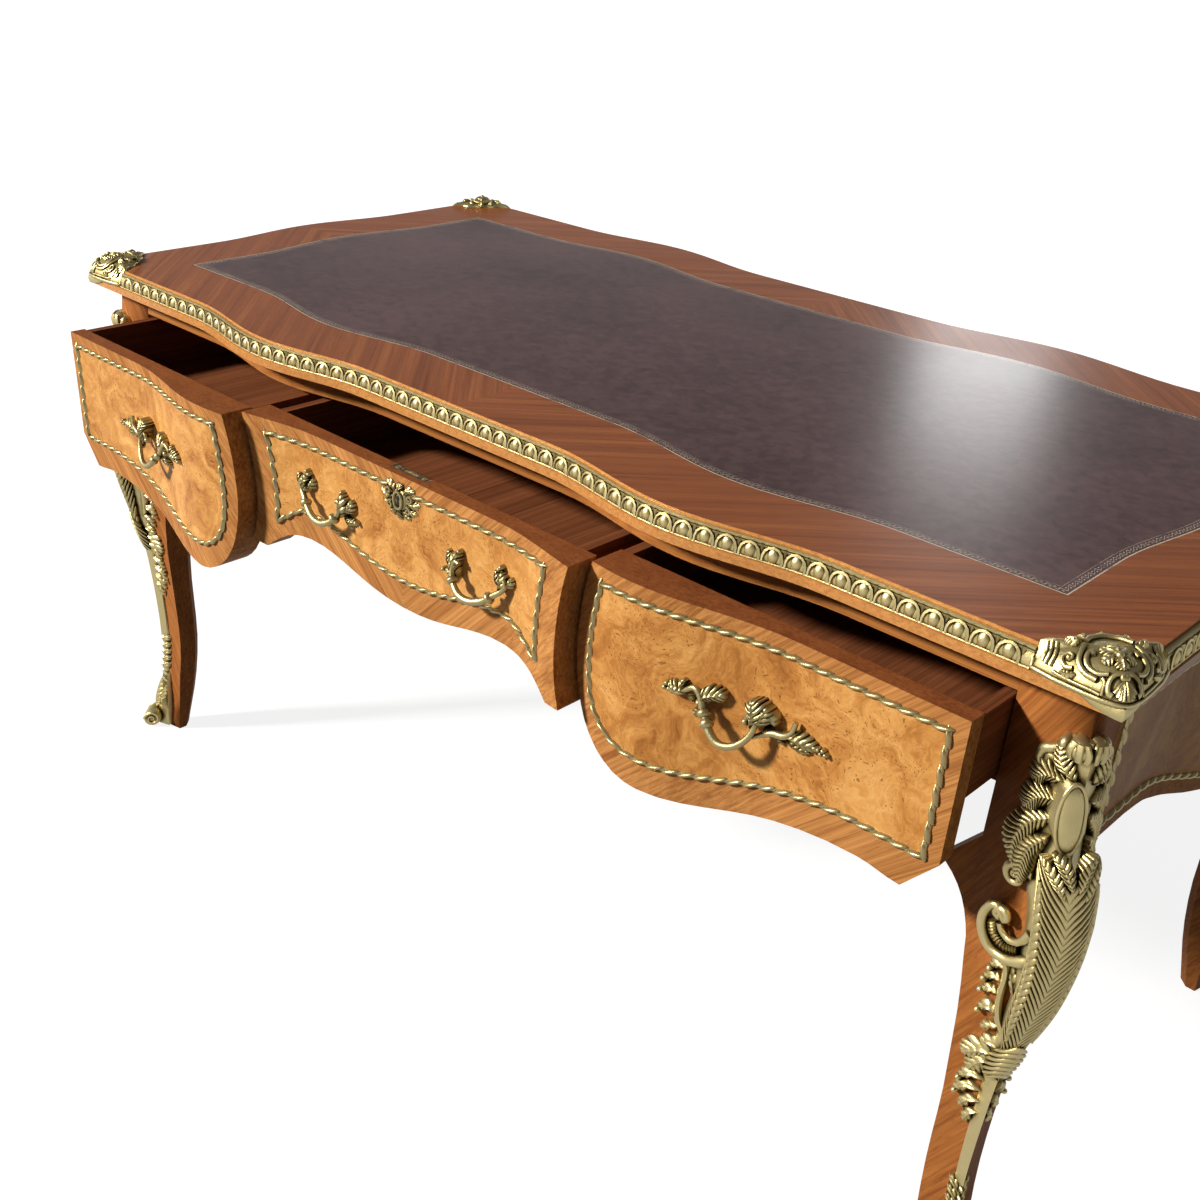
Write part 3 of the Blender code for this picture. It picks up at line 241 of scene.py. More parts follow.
class Signal:
    """A socket of a material's node tree."""

    def __init__(self, tree, socket):
        self.tree = tree
        self.socket = socket

    def feed(self, socket, value):
        """Link a signal to a socket, or set a plain value on it."""
        if isinstance(value, Signal):
            self.tree.links.new(value.socket, socket)
        else:
            socket.default_value = value

    def node(self, kind, settings, sockets, output=0):
        """Add a node and return one of its outputs."""
        made = self.tree.nodes.new("ShaderNode" + kind)
        for name, value in settings.items():
            if name == "stops":
                set_stops(made.color_ramp, value)
            else:
                setattr(made, name, value)
        for name, value in sockets.items():
            self.feed(made.inputs[name], value)
        return Signal(self.tree, made.outputs[output])

    def sum(self, operation, first, second=0.0):
        """A Math node."""
        return self.node("Math", {"operation": operation}, {0: first, 1: second})

    def __add__(self, other):
        return self.sum("ADD", self, other)

    def __sub__(self, other):
        return self.sum("SUBTRACT", self, other)

    def __rsub__(self, other):
        return self.sum("SUBTRACT", other, self)

    def __mul__(self, other):
        return self.sum("MULTIPLY", self, other)

    def __truediv__(self, other):
        return self.sum("DIVIDE", self, other)

    def __lt__(self, other):
        return self.sum("LESS_THAN", self, other)

    def __gt__(self, other):
        return self.sum("GREATER_THAN", self, other)

    def __abs__(self):
        return self.sum("ABSOLUTE", self)

    __radd__ = __add__
    __rmul__ = __mul__

    def parts(self):
        """The three numbers of a vector."""
        return [self.node("SeparateXYZ", {}, {0: self}, axis) for axis in ("X", "Y", "Z")]

    def mix(self, factor, first, second):
        """A colour between two colours."""
        return self.node("Mix", {"data_type": "RGBA"}, {0: factor, 6: first, 7: second}, 2)

    def ramp(self, *stops):
        """A colour from this value."""
        return self.node("ValToRGB", {"stops": stops}, {0: self})

    def bump(self, strength, distance):
        """A normal from this height."""
        sockets = {"Height": self, "Strength": strength, "Distance": distance}
        return self.node("Bump", {}, sockets)

    def shade(self, sockets):
        """Feed the material's surface shader."""
        shader = self.tree.nodes["Principled BSDF"]
        for name, value in sockets.items():
            self.feed(shader.inputs[name], value)


def new_finish(name, source="Object"):
    """A new material and the coordinates that its pattern follows."""
    material = bpy.data.materials.new(name)
    material.use_nodes = True
    tree = material.node_tree
    place = tree.nodes.new("ShaderNodeTexCoord")
    return material, Signal(tree, place.outputs[source])


def colour(red, green, blue):
    """A colour value for a socket."""
    return (red, green, blue, 1.0)


# %% [markdown]
# ## Veneers
# The top's border, the crossbands and the legs show straight grain at a slant; the panels show burr, a swirling
# figure full of small dark eyes. Both are noise in Object coordinates. Grain is noise stretched along one
# direction; burr is noise bent by more noise, with the eyes from small cells. The coordinates are folded at the
# desk's middle, because veneers are laid in matched pairs.

# %% Grain and pores


def streaks(point, turn, length, width, detail=6.0):
    """Noise stretched along one direction, 0 to 1."""
    laid = point.node("Mapping", {"vector_type": "TEXTURE"},
                      {"Vector": point, "Rotation": turn, "Scale": (length, width, width)})
    return point.node("TexNoise", {}, {"Vector": laid, "Scale": 1.0, "Detail": detail, "Roughness": 0.62,
                                       "Distortion": 0.35})


def clouds(point, scale, detail=3.0, distortion=0.0):
    """Soft patches, 0 to 1."""
    return point.node("TexNoise", {}, {"Vector": point, "Scale": scale, "Detail": detail,
                                       "Distortion": distortion})


def folded(point):
    """Object coordinates mirrored at the desk's two middle planes."""
    x, y, z = point.parts()
    return point.node("CombineXYZ", {}, {0: abs(x), 1: abs(y - CENTRE_Y), 2: z})


def face_height(point):
    """How much the surface looks up, -1 to 1."""
    return point.node("NewGeometry", {}, {}, "Normal").parts()[2]


def straight_wood(name, dark, light, turn, roughness, coat, above=None):
    """A straight-grained veneer; a second pair of colours can cover the faces that look up."""
    material, point = new_finish(name)
    place = folded(point)
    grain = streaks(place, turn, 0.30, 0.0035)
    broad = streaks(place, turn, 0.60, 0.022, 2.0)
    tone = grain * 0.68 + broad * 0.32
    base = tone.ramp((0.36, dark), (0.64, light))
    if above:
        base = point.mix(face_height(point) > 0.8, base, tone.ramp((0.34, above[0]), (0.66, above[1])))
    pores = streaks(place, turn, 0.035, 0.0007, 2.0) < 0.37
    base = point.mix(pores * 0.45, base, colour(*[value * 0.40 for value in dark]))
    point.shade({
        "Base Color": base,
        "Roughness": roughness + 0.12 * grain,
        "Specular IOR Level": 0.08,
        "Coat Weight": coat,
        "Coat Roughness": 0.30,
        "Normal": grain.bump(0.08, 0.0006),
    })
    return material


SLANT = math.radians(45)
crossband = straight_wood("crossband", (0.27, 0.092, 0.022), (0.62, 0.285, 0.088), (0, -SLANT, 0), 0.50, 0.0,
                          above=((0.155, 0.043, 0.013), (0.300, 0.096, 0.030)))
leg_veneer = straight_wood("leg_veneer", (0.21, 0.064, 0.015), (0.44, 0.160, 0.040),
                           (0, math.radians(-62), 0), 0.50, 0.0)
plain_timber = straight_wood("plain_timber", (0.110, 0.034, 0.013), (0.250, 0.082, 0.031),
                             (0, 0, math.radians(90)), 0.60, 0.0)
rail_timber = straight_wood("rail_timber", (0.27, 0.090, 0.022), (0.48, 0.190, 0.050), (0, 0, 0), 0.45, 0.05)
print("straight veneers:", [m.name for m in (crossband, leg_veneer, plain_timber, rail_timber)])

# %% Burr


def burr_wood():
    """Burr veneer: warped clouds, curling lines and clusters of dark eyes."""
    material, point = new_finish("burr")
    place = folded(point)
    warp = place.node("TexNoise", {}, {"Vector": place, "Scale": 9.0, "Detail": 4.0}, "Color")
    bent = place.node("VectorMath", {"operation": "MULTIPLY_ADD"},
                      {0: warp, 1: (0.16, 0.16, 0.16), 2: place})
    figure = clouds(bent, 14.0, 6.0, 1.6)
    curls = clouds(bent, 60.0, 6.0, 2.8)
    patches = clouds(place, 7.0, 3.0)
    tone = figure * 0.45 + curls * 0.25 + patches * 0.30
    base = tone.ramp((0.33, (0.245, 0.080, 0.015)), (0.45, (0.47, 0.195, 0.045)), (0.54, (0.63, 0.305, 0.084)),
                     (0.66, (0.77, 0.435, 0.150)))
    crowd = clouds(place, 13.0, 4.0, 0.8)
    cells = place.node("TexVoronoi", {}, {"Vector": bent, "Scale": 210.0, "Randomness": 1.0}, "Distance")
    eyes = (cells < 0.22) * (crowd > 0.50)
    dots = place.node("TexVoronoi", {}, {"Vector": place, "Scale": 420.0, "Randomness": 1.0}, "Distance")
    pinholes = (dots < 0.20) * (crowd > 0.46)
    base = point.mix(eyes * 0.60, base, colour(0.090, 0.026, 0.006))
    base = point.mix(pinholes * 0.45, base, colour(0.130, 0.040, 0.010))
    point.shade({
        "Base Color": base,
        "Roughness": 0.36 + 0.16 * curls,
        "Specular IOR Level": 0.12,
        "Coat Weight": 0.02,
        "Coat Roughness": 0.30,
        "Normal": curls.bump(0.025, 0.0004),
    })
    return material


burr = burr_wood()

# %% The top's border, with its pale edge and lip


def top_veneer():
    """Chevron veneer above, a pale arris at its edge and an orange lip under the brass."""
    material, point = new_finish("chevron_veneer")
    x, y, z = point.parts()
    place = folded(point)
    turn = (0, 0, -SLANT)
    grain = streaks(place, turn, 0.30, 0.0032)
    broad = streaks(place, turn, 0.50, 0.014, 2.0)
    tone = grain * 0.45 + broad * 0.55
    above = tone.ramp((0.34, (0.165, 0.042, 0.011)), (0.52, (0.275, 0.079, 0.021)), (0.68, (0.385, 0.128, 0.038)))
    edge = grain.ramp((0.3, (0.43, 0.165, 0.042)), (0.7, (0.66, 0.310, 0.092)))
    upward = face_height(point) > 0.6
    high = z > LIP_TOP + 0.002
    base = point.mix(upward * high, edge, above)
    pores = streaks(place, turn, 0.030, 0.0007, 2.0) < 0.37
    base = point.mix(pores * 0.40, base, colour(0.035, 0.010, 0.005))
    wear = clouds(point, 6.0, 5.0)
    point.shade({
        "Base Color": base,
        "Roughness": 0.24 + 0.16 * wear + 0.06 * grain,
        "Specular IOR Level": 0.20,
        "Coat Weight": 0.08,
        "Coat Roughness": 0.26,
        "Normal": grain.bump(0.025, 0.0004),
    })
    return material


chevron_veneer = top_veneer()

# %% [markdown]
# ## Brass and steel
# The mounts are cast, chased and lacquered: high places are rubbed to pale gold and hollows keep an olive brown
# patina.
# An Ambient Occlusion node finds the hollows, which no drawn mask could follow on so much carving, and darkens them
# nearly to black: partly that patina and partly painted shade.

# %% Gilt brass, lock steel and the painted shade of a keyhole


def gilt_brass(name, light):
    """Cast brass whose hollows are darkened by olive patina and by painted shade; older pieces keep less of the light.
    """
    material, point = new_finish(name)
    open_sky = point.node("AmbientOcclusion", {"samples": 8, "only_local": True}, {"Distance": 0.007}, "AO")
    patina = clouds(point, 90.0, 4.0)
    fine = clouds(point, 520.0, 4.0)
    # worn is the share of open sky round a point: it rubs the high places to a gloss, and through the ramp below it
    # paints the hollows dark, partly as olive patina and partly as painted shade.
    worn = open_sky.node("MapRange", {}, {0: open_sky, 1: 0.34, 2: 0.97})
    tones = ((0.045, 0.032, 0.009), (0.205, 0.152, 0.050), (0.50, 0.400, 0.168), (0.74, 0.615, 0.310))
    base = worn.ramp(*[(place, tuple(light * value for value in tone))
                       for place, tone in zip((0.0, 0.35, 0.70, 1.0), tones)])
    dull = base.node("Mix", {"data_type": "RGBA", "blend_type": "MULTIPLY"},
                     {0: 1.0, 6: base, 7: colour(0.60, 0.58, 0.42)}, 2)
    point.shade({
        "Base Color": point.mix(patina * 0.45, base, dull),
        "Metallic": 0.90,
        "Roughness": 0.46 - 0.14 * worn + 0.14 * patina,
        "Normal": (fine * 0.6 + patina * 0.4).bump(0.42, 0.0010),
    })
    return material


def lock_steel():
    """Dull steel with fine scratches."""
    material, point = new_finish("lock_steel")
    scratches = streaks(point, (0, 0, 0), 0.05, 0.0006, 3.0)
    point.shade({
        "Base Color": scratches.ramp((0.3, (0.10, 0.092, 0.078)), (0.7, (0.24, 0.222, 0.188))),
        "Metallic": 1.0,
        "Roughness": 0.34 + 0.18 * scratches,
    })
    return material


def shadow_black():
    """Painted shade: a near-black finish for the inside of a keyhole and the slots of screws, a little mottled."""
    material, point = new_finish("painted_hollow_shade")
    # Painted shade: almost black, with a faint mottle in how black it is.
    shade_mottle = clouds(point, 300.0)
    point.shade({"Base Color": shade_mottle.ramp((0.4, (0.004, 0.003, 0.002)), (0.6, (0.012, 0.009, 0.006))),
                 "Roughness": 0.9})
    return material


brass = gilt_brass("gilt_brass", 0.88)
old_brass = gilt_brass("old_brass", 0.62)
steel = lock_steel()
painted_hollow_shade = shadow_black()

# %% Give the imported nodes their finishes
FINISH_BY_NAME = (
    ("top_panel", chevron_veneer),
    ("leg_", leg_veneer),
    ("front_top_rail", rail_timber),
    ("lock_bolt", brass),
    ("lock_case", steel),
    ("_apron", crossband),
    ("_front", crossband),
    ("drawer_", plain_timber),
    ("outer_runner", plain_timber),
)
for name, node in NODES.items():
    chosen = [finish for part, finish in FINISH_BY_NAME if part in name]
    node.data.materials.clear()
    node.data.materials.append(chosen[0] if chosen else brass)
print("finishes given to", len(NODES), "nodes")

# %% [markdown]
# ## Castings
# A bronze mount is many small reliefs that run into each other: leaves, scrolls, domes and ropes. Sculpting
# would do, but code can build each one as a closed shell in flat coordinates (across, up, outward) and then bend
# it onto the surface that carries it, so one design fits every corner. The class below collects such shells.

# %% Shells laid on a surface


class Casting:
    """The closed shells of one cast piece."""

    def __init__(self, lay):
        self.lay = lay
        self.points = []
        self.faces = []
        self.count = 0

    def add(self, points, faces):
        """Add a shell whose points are already in flat coordinates."""
        laid = self.lay(np.asarray(points, float))
        self.points.append(laid)
        self.faces.extend([tuple(int(i) + self.count for i in face) for face in faces])
        self.count += len(laid)

    def gather(self, other):
        """Take in the shells of another casting."""
        self.points.extend(other.points)
        self.faces.extend([tuple(i + self.count for i in face) for face in other.faces])
        self.count += other.count

    def relief(self, grid, base, plain_back=False):
        """A slab whose upper side is a grid of points and whose lower side, gridded or plain, lies at the base."""
        rows, columns = grid.shape[:2]
        upper = grid.reshape(-1, 3)
        lower = upper.copy()
        lower[:, 2] = base
        index = np.arange(rows * columns).reshape(rows, columns)
        quads = np.stack([index[:-1, :-1], index[1:, :-1], index[1:, 1:], index[:-1, 1:]], -1).reshape(-1, 4)
        rim = np.concatenate([index[0, :], index[1:, -1], index[-1, -2::-1], index[-2:0:-1, 0]])
        after = np.roll(rim, -1)
        below = rows * columns
        if plain_back:
            foot = below + np.arange(len(rim))
            walls = np.stack([rim, after, np.roll(foot, -1), foot], -1)
            self.add(np.concatenate([upper, lower[rim]]), [*quads, *walls, foot])
            return
        walls = np.stack([rim, after, after + below, rim + below], -1)
        self.add(np.concatenate([upper, lower]), [*quads, *(quads[:, ::-1] + below), *walls])

    def tube(self, path, radii, sides=8, level=(0, 0, 1), squash=1.0):
        """A round bar along a path, with its own radius at each point."""
        path = np.asarray(path, float)
        radii = np.broadcast_to(np.asarray(radii, float), len(path))
        along = np.gradient(path, axis=0)
        along /= np.linalg.norm(along, axis=1)[:, None]
        wide = np.cross(along, level) + 1e-9
        wide /= np.linalg.norm(wide, axis=1)[:, None]
        high = np.cross(wide, along) * squash
        angles = np.linspace(0, 2 * np.pi, sides, endpoint=False)
        rings = (np.cos(angles)[None, :, None] * wide[:, None] + np.sin(angles)[None, :, None] * high[:, None])
        points = path[:, None] + radii[:, None, None] * rings
        index = np.arange(len(path) * sides).reshape(len(path), sides)
        turned = np.roll(index, -1, axis=1)
        quads = np.stack([index[:-1], turned[:-1], turned[1:], index[1:]], -1).reshape(-1, 4)
        self.add(points.reshape(-1, 3), [*quads, index[0][::-1], index[-1]])

    def dome(self, centre, half_across, half_up, rise, base=0.0, out=0.0, turn=0.0, steps=9, plain_back=False):
        """An oval boss."""
        u, v = np.meshgrid(np.linspace(-1, 1, steps), np.linspace(-1, 1, steps), indexing="ij")
        across = u * np.sqrt(1 - v * v / 2)
        up = v * np.sqrt(1 - u * u / 2)
        height = np.sqrt(np.clip(1 - across**2 - up**2, 0, 1))
        x, y = across * half_across, up * half_up
        grid = np.stack([centre[0] + x * math.cos(turn) - y * math.sin(turn),
                         centre[1] + x * math.sin(turn) + y * math.cos(turn), out + rise * height], -1)
        self.relief(grid, base, plain_back)

    def leaf(self, spine, width, lobes, rise, out=0.0, base=0.0, lean=0.9, full=0.75, belly=2.0, fold=0.0,
             vein=0.18, sweep=1.25):
        """A lobed leaf along a spine of (across, up) points.

        A fuller one keeps its width longer, a big belly keeps the height to the edge, a fold sinks the rib, and
        a small sweep lets the veins leave the rib at a narrow angle."""
        rows = 6 * lobes + 1
        line = along_path(spine, rows)
        tangent = np.gradient(line, axis=0)
        tangent /= np.linalg.norm(tangent, axis=1)[:, None]
        normal = np.stack([-tangent[:, 1], tangent[:, 0]], -1)
        t = np.linspace(0, 1, rows)[:, None]
        v = np.linspace(-1, 1, 13)[None, :]
        shape = np.sin(np.pi * np.clip(t, 0.02, 0.98) ** 0.8) ** full
        notch = np.abs(np.sin(np.pi * lobes * t)) ** 0.7
        half = width * shape * (0.70 + 0.30 * notch)
        reach = lean * half * np.abs(v) ** sweep
        plan = line[:, None] + normal[:, None] * (v * half)[..., None] + tangent[:, None] * reach[..., None]
        rib = 0.24 * np.exp(-((v / 0.11) ** 2)) - 0.12 * np.exp(-(((np.abs(v) - 0.26) / 0.12) ** 2))
        rib = rib * (1 - fold) - fold * np.exp(-((v / 0.34) ** 2))
        crown = (1 - 0.84 * np.abs(v) ** belly) * (0.34 + 0.66 * shape)
        veins = vein * (notch - 0.6) * np.clip(np.abs(v) * 4, 0, 1)
        height = out + rise * (crown + rib * shape + veins * shape)
        self.relief(np.concatenate([plan, np.maximum(height, base + 0.0004)[..., None]], -1), base)

    def piece(self, name, body, nodes=(), slot="brass", finish=None, sharp=50):
        """Make the collected shells one object that rides on a body and stands for its nodes."""
        mesh = bpy.data.meshes.new(name)
        mesh.from_pydata(np.concatenate(self.points).tolist(), [], self.faces)
        return finished_piece(name, mesh, body, nodes, finish or brass, sharp)


def finished_piece(name, mesh, body, nodes, finish, sharp):
    """An object at the origin, shaded smooth, with its faces pointing out."""
    work = bmesh.new()
    work.from_mesh(mesh)
    bmesh.ops.recalc_face_normals(work, faces=work.faces)
    work.to_mesh(mesh)
    work.free()
    mesh.materials.clear()
    mesh.materials.append(finish)
    mesh.shade_smooth()
    mesh.set_sharp_from_angle(angle=math.radians(sharp))
    made = bpy.data.objects.new(name, mesh)
    bpy.context.scene.collection.objects.link(made)
    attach(made, body)
    if nodes:
        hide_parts(*nodes)
    return made


def along_path(points, count):
    """Even points on a smooth line through a few given ones."""
    points = np.asarray(points, float)
    if len(points) == 2:
        return points[0] + np.linspace(0, 1, count)[:, None] * (points[1] - points[0])
    steps = np.concatenate([[0], np.cumsum(np.linalg.norm(np.diff(points, axis=0), axis=1))])
    fine = smooth_through(np.column_stack([steps, points]), np.linspace(0, steps[-1], 12 * len(points)))
    lengths = np.concatenate([[0], np.cumsum(np.linalg.norm(np.diff(fine, axis=0), axis=1))])
    even = np.linspace(0, lengths[-1], count)
    return np.column_stack([np.interp(even, lengths, column) for column in fine.T])


def spiral(centre, radius, turns, start, hand=1, inner=0.22, count=26):
    """Points (across, up) of a volute that winds in to its eye."""
    t = np.linspace(0, 1, count)
    angle = start + hand * 2 * np.pi * turns * t
    reach = radius * (1 - (1 - inner) * t)
    return np.column_stack([centre[0] + reach * np.cos(angle), centre[1] + reach * np.sin(angle)])


def lifted(path, out):
    """Give (across, up) points a height above the surface."""
    path = np.asarray(path, float)
    return np.column_stack([path, np.broadcast_to(out, len(path))])


def mirrored(path, sign):
    """The same points on the other side of the middle."""
    return [(sign * point[0], *point[1:]) for point in path]


# %% [markdown]
# ## Legs
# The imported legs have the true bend, cut from flat facets. A copy with its corners welded can be shaded smooth,
# which a node of loose triangles can't, and its sharp edges stay sharp by angle.

# %% Smooth copies of the legs


def smooth_copy(node, body, finish, angle):
    """A welded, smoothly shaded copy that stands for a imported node."""
    mesh = NODES[node].data.copy()
    work = bmesh.new()
    work.from_mesh(mesh)
    bmesh.ops.remove_doubles(work, verts=work.verts, dist=0.00002)
    bmesh.ops.dissolve_limit(work, angle_limit=math.radians(1), verts=work.verts, edges=work.edges)
    work.to_mesh(mesh)
    work.free()
    return finished_piece("smooth_" + node, mesh, body, [node], finish, angle)


for corner in CORNERS:
    smooth_copy("leg_" + corner, "desk", leg_veneer, 32)
print("legs smoothed:", len(CORNERS))

# %% [markdown]
# ## Scrolled panels
# Each front is veneered in two parts: a burr panel inside the rope bead and a crossband outside it. The panel is
# a thin sheet of its own. Its outline is the bead's path, so the same curve makes both, and the bead hides the seam.

# %% Outlines of the panels, as distances from the centre and depths under the fronts' top edge
PARTING_GAP = 0.006
DIVISION_X = 0.276
WAIST_BOW = 0.0165
WAIST_DEPTH = 0.103
TIP_BOW = 0.005
TIP_DEPTH = 0.164
LOBE_OFFSET = 0.083
LOBE_DEPTH = 0.224
LOBE_ROUND = 0.038
ARCH_FROM_END = 0.078
ARCH_DEPTH = 0.180
CENTRE_ARCH_OFFSET = 0.106
CENTRE_ARCH_DEPTH = 0.136
CENTRE_DEPTH = 0.160
END_APRON_DEPTH = 0.158
END_APRON_DROP = 0.043
END_APRON_SPREAD = 0.200
BEAD_RADIUS = 0.0034
BEAD_TOP = 0.016
BEAD_END = 0.016
BEAD_INNER = 0.025
BEAD_BOTTOM = 0.035
BEAD_CENTRE_END = 0.036
BEAD_APRON_END = 0.014
BEAD_APRON_BOTTOM = 0.021
ESCUTCHEON_WIDTH = 0.038
LEG_FACE_Y = HALF_DEPTH - LEG_INNER
DRAWER_END_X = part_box("right_drawer_front")[1].x
WAIST_X = DIVISION_X - WAIST_BOW
TIP_X = DIVISION_X - TIP_BOW


def bezier(start, first, second, end, count):
    """Points of a cubic curve, without its first point."""
    t = np.linspace(0, 1, count + 1)[1:, None]
    start, first, second, end = (np.asarray(p, float) for p in (start, first, second, end))
    return (1 - t)**3 * start + 3 * t * (1 - t)**2 * first + 3 * t**2 * (1 - t) * second + t**3 * end


def parting_x(depth):
    """The bowed line between two fronts."""
    share = np.clip((WAIST_DEPTH - depth) / WAIST_DEPTH, 0, 1)
    low = np.clip((depth - WAIST_DEPTH) / (TIP_DEPTH - WAIST_DEPTH), 0, 1)
    return WAIST_X + WAIST_BOW * share**2 + (TIP_X - WAIST_X) * low**2


def parting_line(top, tip, shift):
    """Points down the parting line."""
    depths = np.linspace(top, tip, 14)
    return np.column_stack([parting_x(depths) + shift, depths])


def side_panel():
    """The right-hand panel, counted from its upper inner corner."""
    end = DRAWER_END_X - BEAD_END
    tip = TIP_DEPTH - BEAD_BOTTOM
    inner = parting_line(BEAD_TOP, tip, BEAD_INNER)
    lobe = np.array([DIVISION_X + LOBE_OFFSET, LOBE_DEPTH - BEAD_BOTTOM])
    arch = np.array([DRAWER_END_X - ARCH_FROM_END, ARCH_DEPTH - BEAD_BOTTOM])
    run = inner[-1] - inner[-2]
    run *= LOBE_ROUND / np.linalg.norm(run)
    reach = arch[0] - lobe[0]
    lower = bezier(inner[-1], inner[-1] + run, lobe - (LOBE_ROUND, 0), lobe, 12)
    upper = bezier(lobe, lobe + (reach * 0.33, 0), arch - (reach * 0.42, 0), arch, 14)
    return np.concatenate([inner, lower, upper, [(end, arch[1]), (end, BEAD_TOP)]])


def centre_panel():
    """The middle panel, from its upper middle round to the same place."""
    tip = TIP_DEPTH - BEAD_BOTTOM - BEAD_RADIUS
    ends = parting_line(BEAD_TOP, tip, -BEAD_CENTRE_END)
    arch = np.array([DIVISION_X - CENTRE_ARCH_OFFSET, CENTRE_ARCH_DEPTH - BEAD_BOTTOM])
    corner = ends[-1]
    run = corner[0] - arch[0]
    rise = bezier(corner, corner - (run * 0.3, BEAD_RADIUS), arch + (run * 0.5, 0), arch, 8)
    middle = np.array([0.0, CENTRE_DEPTH - BEAD_BOTTOM])
    lower = bezier(arch, (arch[0] * 0.62, arch[1]), (arch[0] * 0.45, middle[1]), middle, 12)
    half = np.concatenate([[(ESCUTCHEON_WIDTH / 2 + BEAD_RADIUS, BEAD_TOP)], ends, rise, lower])
    return np.concatenate([half, half[-2::-1] * (-1, 1)])


def end_panel():
    """The panel of an end apron, in distances along Y."""
    reach = LEG_FACE_Y - BEAD_APRON_END
    y = np.linspace(-reach, reach, 40)
    depth = END_APRON_DEPTH + END_APRON_DROP * swell(y, END_APRON_SPREAD) - BEAD_APRON_BOTTOM
    return np.concatenate([np.column_stack([y, depth]), [(reach, BEAD_TOP), (-reach, BEAD_TOP)]])


def raised(outline):
    """Depths under the fronts' top edge as heights."""
    return np.column_stack([outline[:, 0], DRAWER_TOP - outline[:, 1]])


PANEL_SKIN = 0.0005


def add_panel(name, outline, lay, body):
    """A thin burr sheet: upright strips between the outline's lower and upper edge."""
    closed = np.concatenate([outline, outline[:1]])
    low, high = outline[:, 0].min(), outline[:, 0].max()
    places = np.linspace(low + SEAT_GAP, high - SEAT_GAP, 90)
    rows = []
    for x in places:
        before, after = closed[:-1], closed[1:]
        crossing = (before[:, 0] - x) * (after[:, 0] - x) <= 0
        crossing &= before[:, 0] != after[:, 0]
        share = (x - before[crossing, 0]) / (after[crossing, 0] - before[crossing, 0])
        heights = before[crossing, 1] + share * (after[crossing, 1] - before[crossing, 1])
        rows.append([(x, height, PANEL_SKIN) for height in np.linspace(heights.min(), heights.max(), 4)])
    sheet = Casting(lay)
    sheet.relief(np.array(rows), -PANEL_SKIN)
    return sheet.piece(name, body, slot="burr", finish=burr)


RIGHT_PANEL = raised(side_panel())
LEFT_PANEL = RIGHT_PANEL * (-1, 1)
CENTRE_PANEL = raised(centre_panel())
END_PANEL = raised(end_panel())
# Name of each framed panel, its outline, what it lies on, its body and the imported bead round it
PANELS = (
    ("left_drawer_panel", LEFT_PANEL, front_lay("left_drawer"), "left_drawer", "left_drawer_bead"),
    ("right_drawer_panel", RIGHT_PANEL, front_lay("right_drawer"), "right_drawer", "right_drawer_bead"),
    ("centre_drawer_panel", CENTRE_PANEL, front_lay("centre_drawer"), "centre_drawer", "centre_drawer_bead"),
    ("back_panel_left", LEFT_PANEL, back_lay, "desk", "back_bead_left"),
    ("back_panel_right", RIGHT_PANEL, back_lay, "desk", "back_bead_right"),
    ("back_panel_centre", CENTRE_PANEL, back_lay, "desk", "back_bead_centre"),
    ("end_panel_left", END_PANEL, end_lay(-1), "desk", "side_bead_left"),
    ("end_panel_right", END_PANEL, end_lay(1), "desk", "side_bead_right"),
)
for name, outline, lay, body, bead in PANELS:
    add_panel(name, outline, lay, body)
print("burr panels:", len(PANELS))

# %% [markdown]
# ## Rope beads and the egg-and-dart edge
# Both are one small motif repeated along a line, and that is what Geometry Nodes are for: resample the line to
# the motif's pitch, put an instance on every point, turn it along the line, and realize the lot. One tree serves
# both, with the motif, the pitch and the outward direction as its inputs.

# %% A tree that repeats a motif along a line


def motif_tree():
    """Geometry Nodes that repeat a motif along a curve."""
    tree = bpy.data.node_groups.new("motif_along_line", "GeometryNodeTree")
    face = tree.interface
    face.new_socket("Line", in_out="INPUT", socket_type="NodeSocketGeometry")
    face.new_socket("Motif", in_out="INPUT", socket_type="NodeSocketObject")
    face.new_socket("Pitch", in_out="INPUT", socket_type="NodeSocketFloat")
    face.new_socket("Outward", in_out="INPUT", socket_type="NodeSocketVector")
    face.new_socket("Finish", in_out="INPUT", socket_type="NodeSocketMaterial")
    face.new_socket("Geometry", in_out="OUTPUT", socket_type="NodeSocketGeometry")
    start = tree.nodes.new("NodeGroupInput")
    end = tree.nodes.new("NodeGroupOutput")
    even = tree.nodes.new("GeometryNodeResampleCurve")
    even.mode = "LENGTH"
    shape = tree.nodes.new("GeometryNodeObjectInfo")
    tangent = tree.nodes.new("GeometryNodeInputTangent")
    turn = tree.nodes.new("FunctionNodeAxesToRotation")
    turn.primary_axis = "X"
    turn.secondary_axis = "Z"
    copies = tree.nodes.new("GeometryNodeInstanceOnPoints")
    solid = tree.nodes.new("GeometryNodeRealizeInstances")
    paint = tree.nodes.new("GeometryNodeSetMaterial")
    link = tree.links.new
    link(start.outputs["Line"], even.inputs["Curve"])
    link(start.outputs["Pitch"], even.inputs["Length"])
    link(start.outputs["Motif"], shape.inputs["Object"])
    link(tangent.outputs["Tangent"], turn.inputs[0])
    link(start.outputs["Outward"], turn.inputs[1])
    link(even.outputs["Curve"], copies.inputs["Points"])
    link(shape.outputs["Geometry"], copies.inputs["Instance"])
    link(turn.outputs["Rotation"], copies.inputs["Rotation"])
    link(copies.outputs["Instances"], solid.inputs["Geometry"])
    link(solid.outputs["Geometry"], paint.inputs["Geometry"])
    link(start.outputs["Finish"], paint.inputs["Material"])
    link(paint.outputs["Geometry"], end.inputs["Geometry"])
    return tree


MOTIF_TREE = motif_tree()


